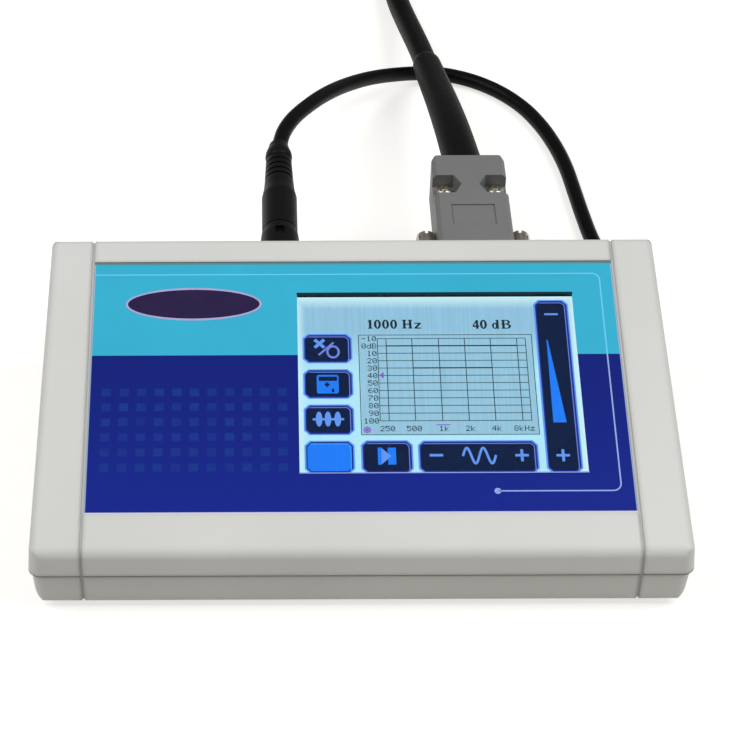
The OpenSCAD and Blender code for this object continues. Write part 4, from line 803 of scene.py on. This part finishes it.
class AUDIOMETER_OT_stage(bpy.types.Operator):
    """Adds the camera at the photograph's angle, the pale floor and the soft lights"""

    bl_idname = "audiometer.stage"
    bl_label = "Stage"

    def execute(self, context):
        scene = context.scene
        camera = bpy.data.cameras.new("camera")
        camera.lens, camera.sensor_width, camera.sensor_fit = 115.7, 36, "AUTO"
        camera.shift_x, camera.shift_y = 0.1496, -0.1315
        camera.clip_start, camera.clip_end = 0.01, 100
        eye = bpy.data.objects.new("camera", camera)
        eye.matrix_world = (Matrix.Translation((-0.0242, -0.4306, 0.4339))
                            @ Matrix.Rotation(math.radians(49.59), 4, "X")
                            @ Matrix.Rotation(math.radians(-0.22), 4, "Z"))
        scene.collection.objects.link(eye)
        scene.camera = eye

        bm = bmesh.new()
        bmesh.ops.create_grid(bm, x_segments=1, y_segments=1, size=4)
        mesh = bpy.data.meshes.new("floor")
        bm.to_mesh(mesh)
        bm.free()
        floor = bpy.data.objects.new("floor", mesh)
        mesh.materials.append(self.floor_paper())
        scene.collection.objects.link(floor)

        for name, place, power in (("right_box", (0.62, -0.05, 0.95), 6.0),
                                   ("left_box", (-0.66, -0.05, 0.95), 5.4)):
            lamp = bpy.data.lights.new(name, "AREA")
            lamp.shape, lamp.size, lamp.energy = "SQUARE", 0.6, power
            light = bpy.data.objects.new(name, lamp)
            way = Vector((0, 0.03, 0.02)) - Vector(place)
            light.matrix_world = Matrix.Translation(place) @ way.to_track_quat("-Z", "Y").to_matrix().to_4x4()
            scene.collection.objects.link(light)

        scene.view_settings.view_transform = "Standard"
        scene.world = bpy.data.worlds.new("room")
        scene.world.use_nodes = True
        scene.world.node_tree.nodes.clear()
        # The room lights the object at a quarter of the white that the camera sees
        add = partial(add_node, scene.world.node_tree)
        seen = add("LightPath", out="Is Camera Ray")
        shown = between(add, seen, shade("FFFFFF", 0.25), "FFFFFF", 0.0, 1.0)
        add("OutputWorld", [add("Background", (shown, 1.0))])
        return {"FINISHED"}

    def floor_paper(self):
        """Pale seamless paper: matt, with a faint tooth, and lifted to white where it is seen."""
        material, add, place = new_material("seamless_pale_paper")
        tooth = add("TexNoise", {"Vector": place, "Scale": 1 / 0.0015, "Detail": 3.0})
        paper = add("BsdfPrincipled", {
            "Base Color": between(add, tooth, "C3BFB8", "C8C4BD"),
            "Roughness": 0.9,
            "Specular IOR Level": 0.1,
            "Normal": add("Bump", {"Height": tooth, "Distance": 0.00002}),
        })
        path = add("LightPath").node.outputs
        seen = add("Math", (path["Is Camera Ray"], path["Is Glossy Ray"]), operation="MAXIMUM")
        seen = add("Math", (seen, path["Is Transmission Ray"]), operation="MAXIMUM")
        glow = add("Emission", ("FFFFFF", add("Math", (seen, 0.66), operation="MULTIPLY")))
        add("OutputMaterial", [add("AddShader", (paper, glow))])
        return material


class AUDIOMETER_OT_headset_lead(bpy.types.Operator):
    """Lays the headset lead from its hood to the coil and its socket"""

    bl_idname = "audiometer.headset_lead"
    bl_label = "Headset lead"

    def execute(self, context):
        look = context.scene.audiometer.leads
        diameter = look.headset_diameter
        # Extruded soft PVC: near black, with a low sheen
        cover = jacket("drawn_pvc_jacket_7mm", look.jacket, 0.5, diameter)
        lead, length = lead_curve("headset_lead", headset_line(), diameter, cover)
        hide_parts("headset_cord", "headset_coil", "headset_tail")

        # Moulded elastomer boot: matt black, with a soft grain
        rubber = moulded("moulded_elastomer_boot", "0A0A0B", 0.55, 0.0009, 0.00002, 0.02, level=0.14)
        line = smooth_line(BOOT_MM + SLEEVE_MM, 0.002)
        reach = sum((b - a).length for a, b in zip(line, line[1:]))
        radii, gone = [], 0.0
        for i, at in enumerate(line):
            gone += (at - line[i - 1]).length if i else 0.0
            tapered = max(0.0, gone / reach - BOOT_STRAIGHT) / (1 - BOOT_STRAIGHT)
            radii.append(BOOT_RADIUS + (BOOT_END_RADIUS - BOOT_RADIUS) * tapered)
        radii[-1] -= BOOT_LIP
        bm = bmesh.new()
        sleeve_mesh(bm, line, radii)
        sleeve = finish_piece(bm, "headset_boot", [rubber], Matrix.Identity(4), True)
        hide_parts("headset_sleeve")

        return {"FINISHED"}


class AUDIOMETER_OT_power_lead(bpy.types.Operator):
    """Lays the power lead from its plug round to the hank behind the case"""

    bl_idname = "audiometer.power_lead"
    bl_label = "Power lead"

    def execute(self, context):
        look = context.scene.audiometer.leads
        diameter = look.power_diameter
        # Extruded PVC: black, a little glossier than the thicker lead
        cover = jacket("drawn_pvc_jacket_4mm", look.jacket, 0.42, diameter)
        lead, length = lead_curve("power_lead", power_line(), diameter, cover)
        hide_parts("power_cord", "power_hank", "power_tail")
        return {"FINISHED"}


class AUDIOMETER_OT_case(bpy.types.Operator):
    """Finishes the shells, covers, rear panel, feet and case screws, and lays a bead in each groove"""

    bl_idname = "audiometer.case"
    bl_label = "Case"

    def execute(self, context):
        look = context.scene.audiometer.case
        # Moulded ABS: warm light grey, satin, with the fine grain of an eroded mould, and a dark band painted
        # along the parting line for the seam's shade and dust
        dress(["upper_shell", "lower_shell", "upper_left_cover", "upper_right_cover", "lower_left_cover",
               "lower_right_cover"],
              moulded("moulded_abs_case", look.shell, 0.46, look.grain, 0.000012, 0.05, 0.0019, PARTING_AT))
        dress(["rear_panel"],
              moulded("moulded_abs_panel", look.shell, 0.5, look.grain, 0.000012, 0.03, 0.0003))
        # Moulded ABS again, painted darker than the case for the shade in the groove: the bead at the bottom
        # of the groove beside each side cover
        bead = moulded("groove_bead_painted_shade", "BDBEBC", 0.55, look.grain, 0.000012, 0.03)
        bm = bmesh.new()
        for corners, radii in GROOVE_LINES:
            outline = inset_line(corners, radii, GROOVE_TOP) + inset_line(corners, radii, GROOVE_FLOOR)[::-1]
            for start in (GROOVE_FROM, -GROOVE_TO):
                raised_shape(bm, outline, start, start + GROOVE_TO - GROOVE_FROM, 0)
        # The outline is in Y and Z and is raised along X
        turned = Matrix(((0, 0, MM, 0), (MM, 0, 0, CASE_FRONT), (0, MM, 0, 0), (0, 0, 0, 1)))
        finish_piece(bm, "groove_beads", [bead], turned)
        # Moulded rubber: dark, matt, slightly dusty
        dress(["rubber_feet"], moulded("moulded_rubber_feet", look.foot, 0.75, 0.0006, 0.00002, 0.004))
        # Zinc-plated steel: bluish silver with a fine drawn grain
        dress(["case_screws"], plated("zinc_plated_screws", "BFC3C8", 0.34))
        return {"FINISHED"}


class AUDIOMETER_OT_overlay(bpy.types.Operator):
    """Prints the overlay: two fields, faint squares, a thin line with its dot and a bare oval field, and
    paints a highlight below the window and a shadow above it"""

    bl_idname = "audiometer.overlay"
    bl_label = "Overlay"

    def execute(self, context):
        look = context.scene.audiometer.overlay
        dress(["front_overlay"], printed_foil(look))
        bm = bmesh.new()
        wide = look.line_width / MM
        low, high = FOIL_FACE_MM - 0.05, FOIL_FACE_MM + 0.02
        cu, cv = WINDOW_AT_MM
        # The thin line runs in from the left, round the window's right side, and back to its dot
        start, top, side, foot, dot, corner = -65.9, cv + 32.6, cu + 42.4, cv - 31.6, cu + 12.6, 2.0
        add_bar(bm, (start, top), (side - corner, top), wide, low, high)
        add_bar(bm, (side, top - corner), (side, foot + corner), wide, low, high)
        add_bar(bm, (side - corner, foot), (dot, foot), wide, low, high)
        outer, inner = [corner + wide / 2] * 2, [corner - wide / 2] * 2
        for v, first in ((top - corner, 0.0), (foot + corner, -math.pi / 2)):
            add_ring(bm, (side - corner, v), outer, inner, low, high, 0, first, math.pi / 2, 48)
        add_disc(bm, (dot, foot), 0.82, 0.82, low, high)
        # The bare oval field lies over its rim
        oval = (cu - 61.25, cv + 23.45)
        add_disc(bm, oval, 17.25, 5.03, low, high, 1, 96)
        add_disc(bm, oval, 16.7, 4.45, low, high + 0.01, 2, 96)
        # A pale bar below the window, painted highlight on the window's lit edge, and a dark bar above it,
        # painted shadow of the window's edge on the picture, which covers the foil's cut edge as well
        for v, width, bottom, slot in ((cv - 26.42, 0.24, low, 0),
                                       (cv + 26.52, 0.72, FOIL_FACE_MM - 0.34, 3)):
            add_bar(bm, (cu - 35.1, v), (cu + 35.1, v), width, bottom, high, slot)
        finish_piece(bm, "overlay_print", [
            ink("pale_ink_and_painted_highlight", look.line, look.line_above), ink("rim_printing_ink", look.plate_rim),
            ink("dark_printing_ink", look.plate), ink("window_edge_painted_shadow", "0A2C3A")], ON_TOP)
        return {"FINISHED"}


class AUDIOMETER_OT_screen(bpy.types.Operator):
    """Draws the lit picture under the touch panel and finishes the screen's parts"""

    bl_idname = "audiometer.screen"
    bl_label = "Screen"

    def execute(self, context):
        look = context.scene.audiometer.screen
        bm = bmesh.new()
        add_block(bm, (-35.9, -27.1, GLASS_FACE_MM + 0.005), (35.9, 27.1, LEVELS_MM[1]), GROUND)
        bold_words(bm, "1000 Hz", -17.15, 17.35)
        bold_words(bm, "40 dB", 9.4, 17.2)
        picture_chart(bm)
        for k, corners in enumerate(KEYS_MM):
            screen_key(bm, *corners, k == KEY_THAT_IS_LIT)
        picture_signs(bm)
        # Lit liquid crystal: it glows evenly, and is dark where no light comes through
        parts = (("ink", look.ink), ("dark_ink", "1B2E38"), ("glow", look.glow),
                 ("key_edge", look.key_edge), ("key", look.key), ("lit_key", look.lit_key),
                 ("pale_line", "7488E6"), ("mark", look.mark), ("lit_edge", "52AAFC"))
        shown = [lit_ground(look)] + [lit("lit_crystal_" + name, tint) for name, tint in parts]
        finish_piece(bm, "screen_picture", shown, ON_SCREEN)
        dress(["touch_panel"], touch_glass())
        # Polyurethane foam: black, matt and open-pored
        dress(["screen_gasket"], moulded("polyurethane_foam", "151516", 0.9, 0.0004, 0.00008, 0.003))
        # Coated glass: dark and glossy where it isn't lit
        dress(["screen_glass"], moulded("coated_screen_glass", "1C262E", 0.12, 0.002, 0.000001, 0.01))
        # Cast acrylic: milky white
        dress(["screen_backlight"], moulded("milky_acrylic", "EDEFF0", 0.3, 0.0015, 0.000004, 0.02))
        # Tin-plated steel: dull silver with the grain of rolling
        dress(["screen_frame"], plated("tin_plated_steel", "B3B5B6", 0.4, 0.0012))
        return {"FINISHED"}


class AUDIOMETER_OT_connectors(bpy.types.Operator):
    """Finishes the connectors, plugs, hood, switch and ties"""

    bl_idname = "audiometer.connectors"
    bl_label = "Connectors"

    def execute(self, context):
        look = context.scene.audiometer.leads
        # Nickel plating on steel: warm silver, bright, with fine wear
        dress(["headset_connector", "jack_posts", "plug_connector", "hood_screws", "jackscrew_left",
               "jackscrew_right", "power_plug_barrel", "far_plug_barrel", "line_socket_ring"],
              plated("nickel_plated_steel", look.nickel, 0.3))
        # Moulded ABS hood: mid grey, satin
        dress(["hood_upper_half", "hood_lower_half"],
              moulded("moulded_abs_hood", look.hood, 0.5, 0.0007, 0.000015, 0.02, 0.0003))
        # Moulded nylon: black, with a slight gloss
        dress(["power_inlet", "switch_housing", "switch_rocker"],
              moulded("moulded_nylon_black", "1A1A1B", 0.38, 0.0006, 0.000008, 0.01))
        # Overmoulded soft PVC: black, satin
        dress(["power_plug_grip", "far_plug_grip", "line_socket"],
              moulded("overmoulded_pvc", "0A0A0B", 0.46, 0.0007, 0.000015, 0.008, 0.0002, level=0.16))
        # Woven hook-and-loop strap: black threads 0.6 mm apart
        dress(["coil_tie", "hank_tie"], striped("woven_nylon_strap", "1C1C1E", "333336", 0.6, 0.8))
        return {"FINISHED"}


class AUDIOMETER_OT_boards(bpy.types.Operator):
    """Finishes the boards and parts inside the case"""

    bl_idname = "audiometer.boards"
    bl_label = "Boards"

    def execute(self, context):
        dress(["main_board", "io_board"], board_mask())
        # Moulded epoxy: charcoal, matt
        dress(["processor_chip", "audio_chip"],
              moulded("moulded_epoxy", "2A2B2D", 0.6, 0.0005, 0.00001, 0.003))
        # Shrunk PVC sleeve over aluminium cans: dark blue
        dress(["filter_capacitors"], moulded("capacitor_sleeve", "26335E", 0.35, 0.0008, 0.00001, 0.004))
        # Flat ribbon cable: grey PVC, its wires 1.27 mm apart
        dress(["ribbon_cable"], striped("ribbon_pvc", "A9A8A2", "C6C4BC", 1.27, 0.5))
        # Zinc-plated steel, as on the case screws: bluish silver
        dress(["board_screws"], plated("zinc_plated_board_screws", "BFC3C8", 0.34))
        return {"FINISHED"}


STEPS = (AUDIOMETER_OT_stage, AUDIOMETER_OT_headset_lead, AUDIOMETER_OT_power_lead, AUDIOMETER_OT_case,
         AUDIOMETER_OT_overlay, AUDIOMETER_OT_screen, AUDIOMETER_OT_connectors, AUDIOMETER_OT_boards)


class AUDIOMETER_PT_panel(bpy.types.Panel):
    """Lists the audiometer's finishes and the steps that make them"""

    bl_idname = "AUDIOMETER_PT_panel"
    bl_label = "Audiometer"
    bl_space_type = "VIEW_3D"
    bl_region_type = "UI"
    bl_category = "Audiometer"

    def draw(self, context):
        look = context.scene.audiometer
        for group in (look.case, look.overlay, look.screen, look.leads):
            box = self.layout.box()
            for name in group.bl_rna.properties.keys():
                if name not in ("rna_type", "name"):
                    box.prop(group, name)
        for step in STEPS:
            self.layout.operator(step.bl_idname)


CLASSES = (CaseFinish, OverlayPrint, ScreenPicture, Leads, AudiometerLook, *STEPS, AUDIOMETER_PT_panel)


def register():
    for cls in CLASSES:
        bpy.utils.register_class(cls)
    bpy.types.Scene.audiometer = PointerProperty(type=AudiometerLook)


def unregister():
    del bpy.types.Scene.audiometer
    for cls in reversed(CLASSES):
        bpy.utils.unregister_class(cls)


def main():
    register()
    for step in STEPS:
        group, name = step.bl_idname.split(".")
        getattr(getattr(bpy.ops, group), name)()


if __name__ == "__main__":
    main()
